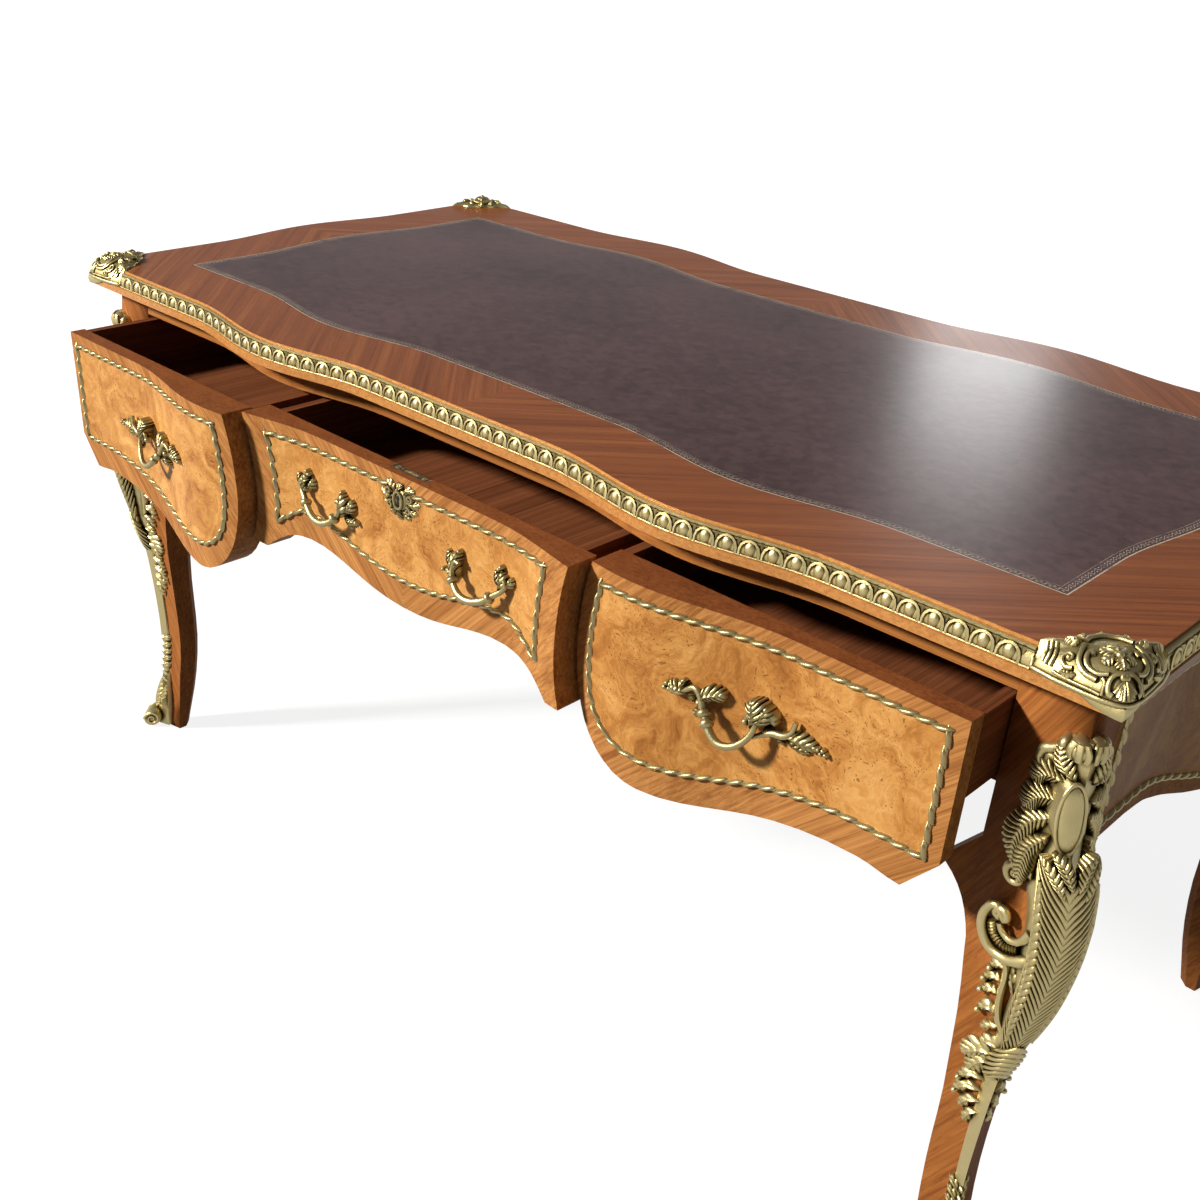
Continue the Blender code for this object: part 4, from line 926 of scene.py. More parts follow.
def motif_object(name, casting):
    """A small mesh to be repeated; it is removed once it has been used."""
    mesh = bpy.data.meshes.new(name)
    mesh.from_pydata(np.concatenate(casting.points).tolist(), [], casting.faces)
    work = bmesh.new()
    work.from_mesh(mesh)
    bmesh.ops.recalc_face_normals(work, faces=work.faces)
    work.to_mesh(mesh)
    work.free()
    made = bpy.data.objects.new(name, mesh)
    bpy.context.scene.collection.objects.link(made)
    print(name, "has", len(mesh.polygons), "faces")
    return made


def repeat_along(path, motif, pitch, outward):
    """The mesh of a motif repeated along a path, at a pitch that fits it evenly."""
    line = bpy.data.curves.new("line", "CURVE")
    line.dimensions = "3D"
    spline = line.splines.new("POLY")
    spline.points.add(len(path) - 1)
    for corner, point in zip(spline.points, path):
        corner.co = (*point, 1.0)
    length = np.linalg.norm(np.diff(path, axis=0), axis=1).sum()
    holder = bpy.data.objects.new("line", line)
    bpy.context.scene.collection.objects.link(holder)
    modifier = holder.modifiers.new("motif", "NODES")
    modifier.node_group = MOTIF_TREE
    values = {"Motif": motif, "Pitch": length / max(1, round(length / pitch)), "Outward": outward, "Finish": brass}
    for item in MOTIF_TREE.interface.items_tree:
        if item.in_out == "INPUT" and item.name in values:
            modifier[item.identifier] = values[item.name]
    graph = bpy.context.evaluated_depsgraph_get()
    mesh = bpy.data.meshes.new_from_object(holder.evaluated_get(graph))
    bpy.data.objects.remove(holder, do_unlink=True)
    return mesh


# %% Rope beads
ROPE_PITCH = 0.0172
ROPE_LENGTH = 0.0110
ROPE_WIDTH = 0.0027
ROPE_RISE = 0.0042
ROPE_SLANT = math.radians(13)
SHARP_CORNER = math.radians(38)


def unchanged(points):
    """Leave points as they are."""
    return np.asarray(points, float)


def even_line(line, step):
    """Even points along a line, both ends kept."""
    lengths = np.concatenate([[0], np.cumsum(np.linalg.norm(np.diff(line, axis=0), axis=1))])
    places = np.linspace(0, lengths[-1], max(4, round(lengths[-1] / step)))
    return np.column_stack([np.interp(places, lengths, column) for column in line.T])


def corner_runs(outline, closed):
    """Split an outline at its sharp corners, so that a motif never straddles one."""
    ring = outline
    if closed:
        turn_here = turning(np.concatenate([outline[-1:], outline, outline[:1]]))
        ring = np.roll(outline, -int(np.argmax(turn_here)), axis=0)
        ring = np.concatenate([ring, ring[:1]])
    cuts = [0, *(np.flatnonzero(turning(ring) > SHARP_CORNER) + 1), len(ring) - 1]
    return [even_line(ring[start:end + 1], 0.004) for start, end in zip(cuts, cuts[1:])]


def turning(line):
    """How sharply a line turns at each of its inner points."""
    steps = np.diff(line, axis=0)
    angles = np.arctan2(steps[:, 1], steps[:, 0])
    return np.abs((np.diff(angles) + np.pi) % (2 * np.pi) - np.pi)


def joined(meshes):
    """One mesh from several."""
    work = bmesh.new()
    for mesh in meshes:
        work.from_mesh(mesh)
    work.to_mesh(meshes[0])
    work.free()
    return meshes[0]


twist = Casting(unchanged)
twist.dome((0, 0), ROPE_LENGTH, ROPE_WIDTH, ROPE_RISE, turn=ROPE_SLANT, steps=6, plain_back=True)
twist = motif_object("rope_twist", twist)
OUTWARD = {"back_panel": (0, 1, 0), "end_panel_left": (-1, 0, 0), "end_panel_right": (1, 0, 0)}
for name, outline, lay, body, bead in PANELS:
    outward = [way for part, way in OUTWARD.items() if name.startswith(part)] or [(0, -1, 0)]
    runs = corner_runs(outline, bead != "centre_drawer_bead")
    ropes = []
    core = Casting(lay)
    for run in runs:
        core.tube(lifted(run, PANEL_SKIN), 0.0021, sides=6)
        inside = even_line(run, 0.0005)[13:-13]
        ropes.append(repeat_along(lay(lifted(even_line(inside, 0.004), PANEL_SKIN)), twist, ROPE_PITCH, outward[0]))
    strand = bpy.data.meshes.new("rope_core")
    strand.from_pydata(np.concatenate(core.points).tolist(), [], core.faces)
    finished_piece("rope_" + bead, joined([*ropes, strand]), body, [bead], old_brass, 50)
bpy.data.objects.remove(twist, do_unlink=True)
print("rope beads:", len(PANELS))

# %% Egg-and-dart edge
EGG_PITCH = 0.0228
BAND_LOW = LIP_TOP + SEAT_GAP
CLASP_REACH = 0.071
# The band's section: distance out from the veneered edge and height above the lip
BAND_SECTION = ((0.0004, 0.0), (0.0086, 0.0), (0.0092, 0.0008), (0.0088, 0.0018), (0.0076, 0.0022),
                (0.0074, 0.0060), (0.0062, 0.0100), (0.0050, 0.0132), (0.0058, 0.0140), (0.0058, 0.0152),
                (0.0046, 0.0158), (0.0052, 0.0166), (0.0052, 0.0178), (0.0040, 0.0187), (0.0004, 0.0187))


def egg_motif():
    """An egg under its arch, with a dart on one side; X runs along the band and Z outwards."""
    unit = Casting(unchanged)
    unit.dome((0, 0.0048), 0.0062, 0.0078, 0.0034, base=-0.0020, out=-0.0004, steps=6, plain_back=True)
    arch = [(-0.0096, -0.0006), (-0.0093, 0.0060), (-0.0064, 0.0114), (0, 0.0136),
            (0.0064, 0.0114), (0.0093, 0.0060), (0.0096, -0.0006)]
    heights = 0.0012 - 0.0022 * along_path(arch, 9)[:, 1] / 0.0136
    unit.tube(lifted(along_path(arch, 9), heights), 0.0019, sides=5)
    dart = [(EGG_PITCH / 2, 0.0142), (EGG_PITCH / 2, 0.0060)]
    unit.tube(lifted(along_path(dart, 3), (-0.0014, -0.0004, 0.0)), (0.0026, 0.0015, 0.0004), sides=4)
    return motif_object("egg_and_dart", unit)


def band_path(name):
    """The line of one length of the edge, from clasp to clasp."""
    start = CLASP_REACH * 0.98
    if name in ("front", "back"):
        x = np.linspace(start - HALF_WIDTH, HALF_WIDTH - start, 140)
        path = np.column_stack([x, -long_edge(x)])
    else:
        y = np.linspace(start - HALF_DEPTH, HALF_DEPTH - start, 70)
        path = np.column_stack([short_edge(y), y])
    return -path if name in ("back", "left") else path


def moved_out(path, distance):
    """The band's line, moved outwards."""
    along = np.gradient(path, axis=0)
    along /= np.linalg.norm(along, axis=1)[:, None]
    return path + np.column_stack([along[:, 1], -along[:, 0]]) * distance


def swept_band(path):
    """The band's plain section swept along its line."""
    plan = np.stack([moved_out(path, out) for out, height in BAND_SECTION], 1)
    plan[..., 1] += CENTRE_Y
    heights = np.broadcast_to([BAND_LOW + height for out, height in BAND_SECTION], plan.shape[:2])
    points = np.concatenate([plan, heights[..., None]], -1)
    rows, sides = points.shape[:2]
    index = np.arange(rows * sides).reshape(rows, sides)
    turned = np.roll(index, -1, axis=1)
    quads = np.stack([index[:-1], turned[:-1], turned[1:], index[1:]], -1).reshape(-1, 4)
    mesh = bpy.data.meshes.new("band")
    mesh.from_pydata(points.reshape(-1, 3).tolist(), [], [*quads.tolist(), index[0][::-1].tolist(),
                                                           index[-1].tolist()])
    return mesh


BAND_OUTWARD = {"front": (0, -1, 0), "back": (0, 1, 0), "left": (-1, 0, 0), "right": (1, 0, 0)}
egg = egg_motif()
for name, outward in BAND_OUTWARD.items():
    path = band_path(name)
    line = moved_out(path, 0.0066)
    line = np.column_stack([line[:, 0], line[:, 1] + CENTRE_Y, np.full(len(line), BAND_LOW + 0.0018)])
    eggs = repeat_along(line[2:-2], egg, EGG_PITCH, outward)
    finished_piece("egg_and_dart_" + name, joined([eggs, swept_band(path)]), "desk", ["edge_moulding_" + name],
                   brass, 35)
bpy.data.objects.remove(egg, do_unlink=True)
print("egg-and-dart lengths:", len(BAND_OUTWARD))

# %% [markdown]
# ## Tooled leather
# The writing surface is a dark hide with a gilt line and a small rolled pattern stamped round its edge. The
# pattern follows the scrolled outline, so the hide gets its own UV map: one number runs round the border and
# the other inwards from the edge. The stamps could be geometry, but real tooling is only pressed and gilded.

# %% The hide and its border
HIDE_INSETS = (0.0, 0.0030, 0.0060, 0.0095, 0.0135, 0.030)
HIDE_FOOT = 0.0018


def hide_ring(inset):
    """The hide's outline, moved in by an inset."""
    half_x = HALF_WIDTH - LEATHER_END_MARGIN - inset
    t = np.linspace(-1, 1, 120)
    x = t * half_x
    long = -(long_edge(x) - LEATHER_LONG_MARGIN - inset)
    y = np.linspace(-1, 1, 60)[1:-1] * (HALF_DEPTH - LEATHER_LONG_MARGIN - inset)
    short = short_edge(y) - LEATHER_END_MARGIN - inset
    front = np.column_stack([x, long])
    right = np.column_stack([short, y])
    return np.concatenate([front, right, -front, -right])


def tooled_leather():
    """Dark hide with fine grain, a gilt line and a stamped scroll border."""
    material, point = new_finish("tooled_leather")
    chart = point.node("UVMap", {"uv_map": "border"}, {})
    along, inward, spare = chart.parts()
    pebbles = point.node("TexVoronoi", {}, {"Vector": point, "Scale": 620.0}, "Distance")
    hide = clouds(point, 5.0, 5.0)
    fine = clouds(point, 160.0, 4.0)
    mottle = clouds(point, 70.0, 6.0, 0.6)
    base = (hide * 0.45 + mottle * 0.55).ramp((0.38, (0.056, 0.026, 0.027)), (0.62, (0.112, 0.058, 0.058)))
    line = (abs(inward - 0.0009) < 0.0007) + (abs(inward - 0.0116) < 0.0003) * 0.5
    wave = (along * (2 * math.pi / 0.0125)).sum("SINE", along * (2 * math.pi / 0.0125))
    curl = (along * (4 * math.pi / 0.0125)).sum("COSINE", along * (4 * math.pi / 0.0125))
    vine = abs(inward - 0.0066 - 0.0022 * wave) < 0.0005
    buds = abs(inward - 0.0066 + 0.0016 * wave) + abs(curl + 1.0) * 0.0010 < 0.0009
    stamped = (inward > 0.0030) * (vine + buds)
    worn = (clouds(point, 45.0, 4.0) > 0.40) * 0.50 + 0.45
    gilt = (line + stamped * 0.65).sum("MINIMUM", line + stamped * 0.65, 1.0) * worn
    grain = pebbles * 0.6 + fine * 0.4
    point.shade({
        "Base Color": point.mix(gilt, base, colour(0.66, 0.55, 0.40)),
        "Roughness": 0.26 + 0.05 * hide - 0.04 * gilt,
        "Specular IOR Level": 0.36,
        "Normal": (grain - stamped * 0.6).bump(0.011, 0.0004),
    })
    return material


def build_hide():
    """Rings of the hide with their border coordinates, closed below."""
    rings = [hide_ring(inset) for inset in HIDE_INSETS]
    count = len(rings[0])
    work = bmesh.new()
    chart = work.loops.layers.uv.new("border")
    levels = [[work.verts.new((x, y + CENTRE_Y, DESK_HEIGHT)) for x, y in ring] for ring in rings]
    foot = [work.verts.new((x, y + CENTRE_Y, DESK_HEIGHT - HIDE_FOOT)) for x, y in rings[0]]
    step = np.linalg.norm(np.roll(rings[0], -1, axis=0) - rings[0], axis=1)
    travel = np.concatenate([[0], np.cumsum(step)])
    for outer, inner, near, far in zip(levels, levels[1:], HIDE_INSETS, HIDE_INSETS[1:]):
        for index in range(count):
            after = (index + 1) % count
            face = work.faces.new((outer[index], outer[after], inner[after], inner[index]))
            places = ((travel[index], near), (travel[index + 1], near), (travel[index + 1], far), (travel[index], far))
            for loop, place in zip(face.loops, places):
                loop[chart].uv = place
    middle = work.faces.new(levels[-1])
    below = work.faces.new(list(reversed(foot)))
    walls = [work.faces.new((foot[i], foot[(i + 1) % count], levels[0][(i + 1) % count], levels[0][i]))
             for i in range(count)]
    for face in [middle, below, *walls]:
        for loop in face.loops:
            loop[chart].uv = (0.0, HIDE_INSETS[-1])
    mesh = bpy.data.meshes.new("writing_leather")
    work.to_mesh(mesh)
    work.free()
    return finished_piece("writing_leather", mesh, "desk", ["leather_inset"], tooled_leather(), 30)


build_hide()
print("leather border:", len(hide_ring(0.0)), "points round")

# %% [markdown]
# ## Drawer pulls
# Each pull is one casting: a scrolled bar with a loop for two fingers, and acanthus leaves that lie on the
# front where its bolts go through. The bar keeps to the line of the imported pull, so a hand finds it there.

# %% Pulls of the side drawers and of the centre drawer
PULL_DEPTH = 0.098
PULL_X = 0.469
SMALL_PULL_DEPTH = 0.0725
SMALL_PULL_X = 0.130
# Across, up and out from the front: the looped bar of a large pull, its branch, and the bar of a small one
LARGE_BAR = ((-0.079, 0.007, 0.0055), (-0.069, 0.006, 0.0055), (-0.062, 0.012, 0.0065), (-0.052, 0.0185, 0.008),
             (-0.044, 0.013, 0.010), (-0.0385, 0.002, 0.013), (-0.032, -0.005, 0.017), (-0.025, -0.0134, 0.021),
             (-0.0135, -0.0205, 0.0245), (0.0, -0.0185, 0.0245), (0.011, -0.009, 0.021), (0.0165, 0.004, 0.017),
             (0.015, 0.013, 0.0145), (0.008, 0.014, 0.0135), (0.005, 0.007, 0.0130))
LARGE_BRANCH = ((0.014, -0.006, 0.0150), (0.0215, -0.002, 0.0095), (0.0315, 0.003, 0.0075), (0.042, 0.005, 0.0070),
                (0.050, 0.012, 0.0070), (0.053, 0.024, 0.0060))
SMALL_BAR = ((-0.040, 0.017, 0.0070), (-0.046, 0.012, 0.0070), (-0.042, 0.004, 0.0085), (-0.034, -0.003, 0.012),
             (-0.020, -0.014, 0.0170), (-0.004, -0.0195, 0.0205), (0.012, -0.0185, 0.0205), (0.026, -0.010, 0.0165),
             (0.032, 0.002, 0.0125), (0.030, 0.011, 0.0100), (0.024, 0.010, 0.0100))


def pull_lay(body, centre, depth, sign):
    """Lay points (across, up, outward) round a pull's middle on a front."""
    on_front = front_lay(body)

    def lay(points):
        across, up, out = np.asarray(points, float).T
        return on_front(np.stack([centre + sign * across, DRAWER_TOP - depth + up, out], -1))
    return lay


def bar(casting, path, thick, collars):
    """A bar that swells in the middle, with a ring at each of the given shares of its length."""
    line = along_path(path, 61)
    share = np.linspace(0, 1, 61)
    casting.tube(line, thick * (0.72 + 0.40 * np.sin(np.pi * share) ** 2), sides=9)
    for place in collars:
        middle = round(place * 60)
        casting.tube(line[middle - 2:middle + 3], thick * np.array([0.9, 1.6, 1.8, 1.6, 0.9]), sides=9)


def berries(casting, places, radius, out):
    """A few round seeds."""
    for across, up in places:
        casting.dome((across, up), radius, radius, radius * 1.4, out=out, steps=6)


def large_pull(body, sign):
    """A side drawer's pull."""
    cast = Casting(pull_lay(body, sign * PULL_X, PULL_DEPTH, sign))
    bar(cast, LARGE_BAR, 0.0036, (0.36, 0.43))
    bar(cast, LARGE_BRANCH, 0.0034, ())
    for spine, width, lobes, rise, out in (
            ([(-0.047, 0.004), (-0.038, 0.015), (-0.022, 0.021)], 0.0090, 6, 0.0070, 0.0060),
            ([(-0.042, 0.003), (-0.046, -0.005), (-0.050, -0.012)], 0.0062, 4, 0.0065, 0.0045),
            ([(-0.058, 0.008), (-0.069, 0.010), (-0.083, 0.010)], 0.0078, 5, 0.0070, 0.0020),
            ([(-0.064, 0.010), (-0.066, 0.016), (-0.065, 0.022)], 0.0040, 3, 0.0060, 0.0030),
            ([(-0.060, 0.012), (-0.057, 0.006), (-0.058, 0.000)], 0.0038, 3, 0.0055, 0.0020),
            ([(0.012, 0.002), (0.014, 0.016), (0.009, 0.030)], 0.0110, 6, 0.0085, 0.0110),
            ([(0.015, 0.004), (0.021, 0.016), (0.024, 0.028)], 0.0078, 5, 0.0070, 0.0100),
            ([(0.018, 0.006), (0.028, 0.018), (0.033, 0.012)], 0.0060, 4, 0.0065, 0.0070),
            ([(0.040, 0.006), (0.058, 0.008), (0.078, 0.006)], 0.0085, 6, 0.0075, 0.0025),
            ([(0.042, 0.004), (0.056, -0.001), (0.070, -0.001)], 0.0056, 5, 0.0065, 0.0015),
            ([(0.036, 0.004), (0.037, -0.002), (0.040, -0.007)], 0.0040, 3, 0.0055, 0.0015)):
        cast.leaf(spine, width, lobes, rise, out=out)
    berries(cast, ((-0.083, 0.011), (-0.080, 0.006), (-0.085, 0.006), (-0.078, 0.012)), 0.0030, 0.003)
    berries(cast, ((0.078, 0.007), (0.081, 0.004), (0.083, 0.008), (0.086, 0.005)), 0.0028, 0.003)
    for across, up in ((-0.046, 0.004), (0.024, 0.001)):
        cast.dome((across, up), 0.0056, 0.0056, 0.0115)
    cast.dome((0.005, 0.006), 0.0042, 0.0042, 0.0050, out=0.0115, base=0.008)
    return cast.piece("cast_" + body + "_pull", body, [body + "_pull"], finish=old_brass)


def small_pull(name, sign):
    """One of the centre drawer's two pulls."""
    cast = Casting(pull_lay("centre_drawer", sign * SMALL_PULL_X, SMALL_PULL_DEPTH, -sign))
    bar(cast, SMALL_BAR, 0.0040, (0.28, 0.78))
    for spine, width, lobes, rise, out in (
            ([(-0.036, 0.000), (-0.040, 0.010), (-0.037, 0.022)], 0.0070, 4, 0.0070, 0.0045),
            ([(-0.040, 0.008), (-0.049, 0.013), (-0.053, 0.021)], 0.0050, 4, 0.0060, 0.0020),
            ([(-0.038, 0.004), (-0.030, 0.011), (-0.026, 0.020)], 0.0050, 4, 0.0060, 0.0020),
            ([(0.028, -0.010), (0.033, 0.004), (0.030, 0.020)], 0.0085, 4, 0.0080, 0.0060),
            ([(0.033, -0.002), (0.043, 0.006), (0.047, 0.017)], 0.0062, 5, 0.0065, 0.0030),
            ([(0.032, -0.006), (0.042, -0.010), (0.053, -0.008)], 0.0056, 5, 0.0060, 0.0015),
            ([(0.034, -0.004), (0.040, -0.014), (0.044, -0.020)], 0.0044, 4, 0.0055, 0.0010)):
        cast.leaf(spine, width, lobes, rise, out=out)
    berries(cast, ((-0.036, 0.027), (-0.033, 0.024), (0.029, 0.021), (0.054, -0.008)), 0.0030, 0.004)
    for across, up in ((-0.038, 0.004), (0.033, -0.002)):
        cast.dome((across, up), 0.0055, 0.0055, 0.0110)
    return cast.piece("cast_" + name, "centre_drawer", [name], finish=old_brass)


large_pull("left_drawer", -1)
large_pull("right_drawer", 1)
small_pull("centre_drawer_pull_left", -1)
small_pull("centre_drawer_pull_right", 1)
print("pulls cast: 4")

# %% [markdown]
# ## Escutcheon and lock
# A small cartouche of leaves and scrolls frames the keyhole. On the drawer's top edge the lock's plate shows,
# let in flush and held by two slotted screws, which Geometry Nodes could scatter but two are simply placed.

# %% Escutcheon
KEYHOLE_DEPTH = 0.027


def build_escutcheon():
    """The cartouche round the keyhole."""
    cast = Casting(pull_lay("centre_drawer", 0.0, KEYHOLE_DEPTH, 1))
    cast.dome((0, 0), 0.0140, 0.0135, 0.0040, out=0.001)
    rim = np.array([(0.0068 * math.cos(a), 0.0098 * math.sin(a)) for a in np.linspace(0, 2 * math.pi, 33)])
    cast.tube(lifted(rim, 0.0052), 0.0017, sides=6)
    for sign in (-1, 1):
        cast.tube(lifted(mirrored(spiral((0.0175, 0.0062), 0.0050, 1.3, -2.2), sign), 0.0034), 0.0017, sides=6)
        cast.tube(lifted(mirrored(spiral((0.0150, -0.0085), 0.0046, 1.3, 2.2, -1), sign), 0.0034), 0.0016, sides=6)
        for spine, width, lobes in (
                ([(0.006, 0.007), (0.014, 0.014), (0.024, 0.016)], 0.0052, 3),
                ([(0.010, 0.001), (0.022, 0.000), (0.033, 0.004)], 0.0056, 4),
                ([(0.010, -0.005), (0.020, -0.009), (0.028, -0.008)], 0.0050, 3),
                ([(0.005, -0.010), (0.011, -0.016), (0.018, -0.018)], 0.0046, 3)):
            cast.leaf(mirrored(spine, sign), width, lobes, 0.0042)
    cast.leaf([(0, 0.008), (0, 0.019)], 0.0058, 4, 0.0052)
    cast.leaf([(0, -0.009), (0, -0.023)], 0.0056, 4, 0.0052)
    cast.piece("cast_escutcheon", "centre_drawer", ["escutcheon"], finish=old_brass)
    # The keyhole is no hole: two thin near-black shells laid on the escutcheon are painted shade.
    hole = Casting(pull_lay("centre_drawer", 0.0, KEYHOLE_DEPTH, 1))
    hole.dome((0, 0.0026), 0.0029, 0.0029, 0.0006, out=0.0052, base=0.0030)
    hole.dome((0, -0.0022), 0.0017, 0.0050, 0.0006, out=0.0051, base=0.0030)
    hole.piece("keyhole", "centre_drawer", slot="steel", finish=painted_hollow_shade)


build_escutcheon()

# %% Screws of the lock's plate
SCREW_RADIUS = 0.0034
SCREW_SPREAD = 0.022


def build_screws():
    """Two slotted screw heads in the lock's top plate."""
    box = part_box("lock_case")
    middle_y = (box[0].y + box[1].y) / 2
    top = box[1].z

    def lay(points):
        x, y, out = np.asarray(points, float).T
        return np.stack([x, middle_y + y, top + out], -1)

    heads = Casting(lay)
    for x in (-SCREW_SPREAD, SCREW_SPREAD):
        heads.dome((x, 0), SCREW_RADIUS, SCREW_RADIUS, 0.0006, out=0.0002, base=-0.0004, steps=7)
    heads.piece("lock_screws", "centre_drawer", slot="brass")
    # The slots are no cuts: thin near-black bars laid on the heads are painted shade.
    slots = Casting(lay)
    for x in (-SCREW_SPREAD, SCREW_SPREAD):
        slots.tube([(x - 0.0027, 0.0003, 0.0007), (x + 0.0027, -0.0003, 0.0007)], 0.00045, sides=4)
    slots.piece("lock_screw_slots", "centre_drawer", slot="steel", finish=painted_hollow_shade)


build_screws()
print("escutcheon and lock dressed")

# %% [markdown]
# ## Mounts of the legs
# The knee of each leg carries the desk's finest casting: a rolled cap, leaves round a plain oval, a long
# feathered acanthus down the outer edge, a large C-scroll on each face, pierced foliage, and a strip that runs
# to the foot. The design is drawn once in flat coordinates and laid on both faces of all four legs.

# %% Knee mounts
# Height, half width along each face, and thickness at the edge of the leg, of the plate that carries the leaves
PLATE_KNOTS = ((0.104, 0.0062, 0.0050), (0.165, 0.0070, 0.0052), (0.200, 0.0056, 0.0050), (0.300, 0.0070, 0.0060),
               (0.345, 0.0120, 0.0085), (0.390, 0.0110, 0.0105), (0.440, 0.0120, 0.0125), (0.490, 0.0180, 0.0140),
               (0.530, 0.0250, 0.0120), (0.555, 0.0340, 0.0105), (0.575, 0.0430, 0.0090), (0.592, 0.0450, 0.0085),
               (0.615, 0.0420, 0.0085), (0.645, 0.0380, 0.0085), (0.672, 0.0360, 0.0090), (0.694, 0.0260, 0.0105),
               (0.707, 0.0130, 0.0080))


def knee_plate(cast):
    """The plate under the leaves, thickest at the leg's edge."""
    z = np.linspace(PLATE_KNOTS[0][0], PLATE_KNOTS[-1][0], 100)
    half, thick = smooth_through(PLATE_KNOTS, z).T[:, :, None]
    v = np.linspace(-1, 1, 15)[None, :]
    height = 0.0030 + (thick - 0.0030) * (1 - np.abs(v) ** 3)
    cast.relief(np.stack([half * v, np.broadcast_to(z[:, None], height.shape), height], -1), 0.0006)


def knee_head(cast):
    """The gadrooned cap, its volutes, and the leaves round the oval."""
    for sign in (-1, 1):
        cast.dome((sign * 0.0074, 0.6985), 0.0078, 0.0105, 0.0110, out=0.006, turn=sign * 0.15, steps=11)
        cast.dome((sign * 0.0175, 0.6975), 0.0056, 0.0085, 0.0080, out=0.005, turn=sign * 0.25)
        for share in (-0.55, 0.0, 0.55):
            rib = [(sign * 0.0074 + 0.0076 * share, 0.6915), (sign * 0.0074 + 0.0082 * share, 0.6990),
                   (sign * 0.0074 + 0.0050 * share, 0.7065)]
            cast.tube(lifted(along_path(rib, 9), 0.0150 - 0.0030 * abs(share) + 0.0014 * np.sin(np.linspace(0, 3.1, 9))),
                      0.0020, sides=6)
        curl = np.concatenate([[(0.012, 0.6960), (0.021, 0.6920)], spiral((0.0262, 0.6770), 0.0115, 1.4, 1.45, -1)])
        cast.tube(lifted(mirrored(along_path(curl, 44), sign), 0.0070), np.linspace(0.0052, 0.0034, 44))
        cast.dome((sign * 0.0262, 0.6770), 0.0052, 0.0052, 0.0115)
        for spine, width, lobes, out in (
                ([(0.006, 0.672), (0.014, 0.684), (0.018, 0.697)], 0.0085, 7, 0.010),
                ([(0.008, 0.668), (0.024, 0.668), (0.039, 0.655)], 0.0125, 9, 0.008),
                ([(0.010, 0.652), (0.028, 0.646), (0.044, 0.628)], 0.0130, 11, 0.009),
                ([(0.014, 0.634), (0.032, 0.622), (0.047, 0.598), (0.049, 0.570)], 0.0140, 15, 0.009),
                ([(0.016, 0.616), (0.029, 0.600), (0.036, 0.580), (0.038, 0.558)], 0.0110, 14, 0.012)):
            cast.leaf(mirrored(spine, sign), width, lobes, 0.0056, out=out, base=0.0004, lean=0.90, belly=2.8,
                      vein=0.45, sweep=0.9)
        cast.dome((sign * 0.0300, 0.6515), 0.0028, 0.0028, 0.0150)


def knee_oval(cast):
    """The plain oval, turned a little to the front, in its frame."""
    cast.dome((0.0085, 0.6430), 0.0108, 0.0300, 0.0046, base=-0.020, out=0.0125, steps=15)
    ring = [(0.0085 + 0.0114 * math.sin(a), 0.643 + 0.0310 * math.cos(a)) for a in np.linspace(0, 2 * math.pi, 41)]
    cast.tube(lifted(ring, 0.0128), 0.0018, sides=7)


# Height, radius of the rounded plume, and how far its middle lies out from and across the leg's edge
PLUME_KNOTS = ((0.335, 0.0080, 0.0, 0.0), (0.370, 0.0100, 0.004, -0.002), (0.400, 0.0122, 0.006, -0.003),
               (0.440, 0.0145, 0.009, -0.005), (0.480, 0.0160, 0.010, -0.006), (0.520, 0.0182, 0.008, -0.005),
               (0.555, 0.0205, 0.005, -0.003), (0.585, 0.0222, 0.002, -0.001), (0.620, 0.0230, -0.003, 0.001))
PLUME_SCALE = 0.020


def plume_lay(side, end):
    """Lay points (angle, height, outward) on a rounded plume in front of a leg's edge."""
    before_edge = toe_lay(side, end)

    def lay(points):
        angle, z, out = np.asarray(points, float).T
        radius, middle, across = smooth_through(PLUME_KNOTS, z).T
        turn = angle / PLUME_SCALE
        return before_edge(np.stack([across + (radius + out) * np.sin(turn), z,
                                     middle + (radius + out) * np.cos(turn)], -1))
    return lay


def knee_plume(cast):
    """The long feathered acanthus on the edge, its rolled borders, and the leaves at its tip and foot."""
    cast.leaf([(0.004, 0.350), (0.004, 0.586)], 0.0420, 28, 0.0046, base=-0.0070, lean=1.50, full=0.34, belly=2.5,
              fold=0.30, vein=0.80, sweep=0.85)
    cast.leaf([(0, 0.392), (0, 0.338)], 0.0400, 7, 0.0045, out=0.003, base=-0.0070, lean=0.6, full=0.40, vein=0.50)
    for sign in (-1, 1):
        border = [(0.0170, 0.392), (0.0215, 0.440), (0.0240, 0.490), (0.0265, 0.545), (0.0260, 0.585)]
        cast.leaf(mirrored(border, sign), 0.0066, 20, 0.0050, out=0.0016, base=-0.006, full=0.4, belly=3.0, vein=0.3)
        for spine, width in (([(0.002, 0.588), (0.008, 0.606), (0.017, 0.615)], 0.0052),
                             ([(0.007, 0.580), (0.016, 0.598), (0.028, 0.606)], 0.0056)):
            cast.leaf(mirrored(spine, sign), width, 8, 0.0030, out=0.0020, base=-0.006, vein=0.6)


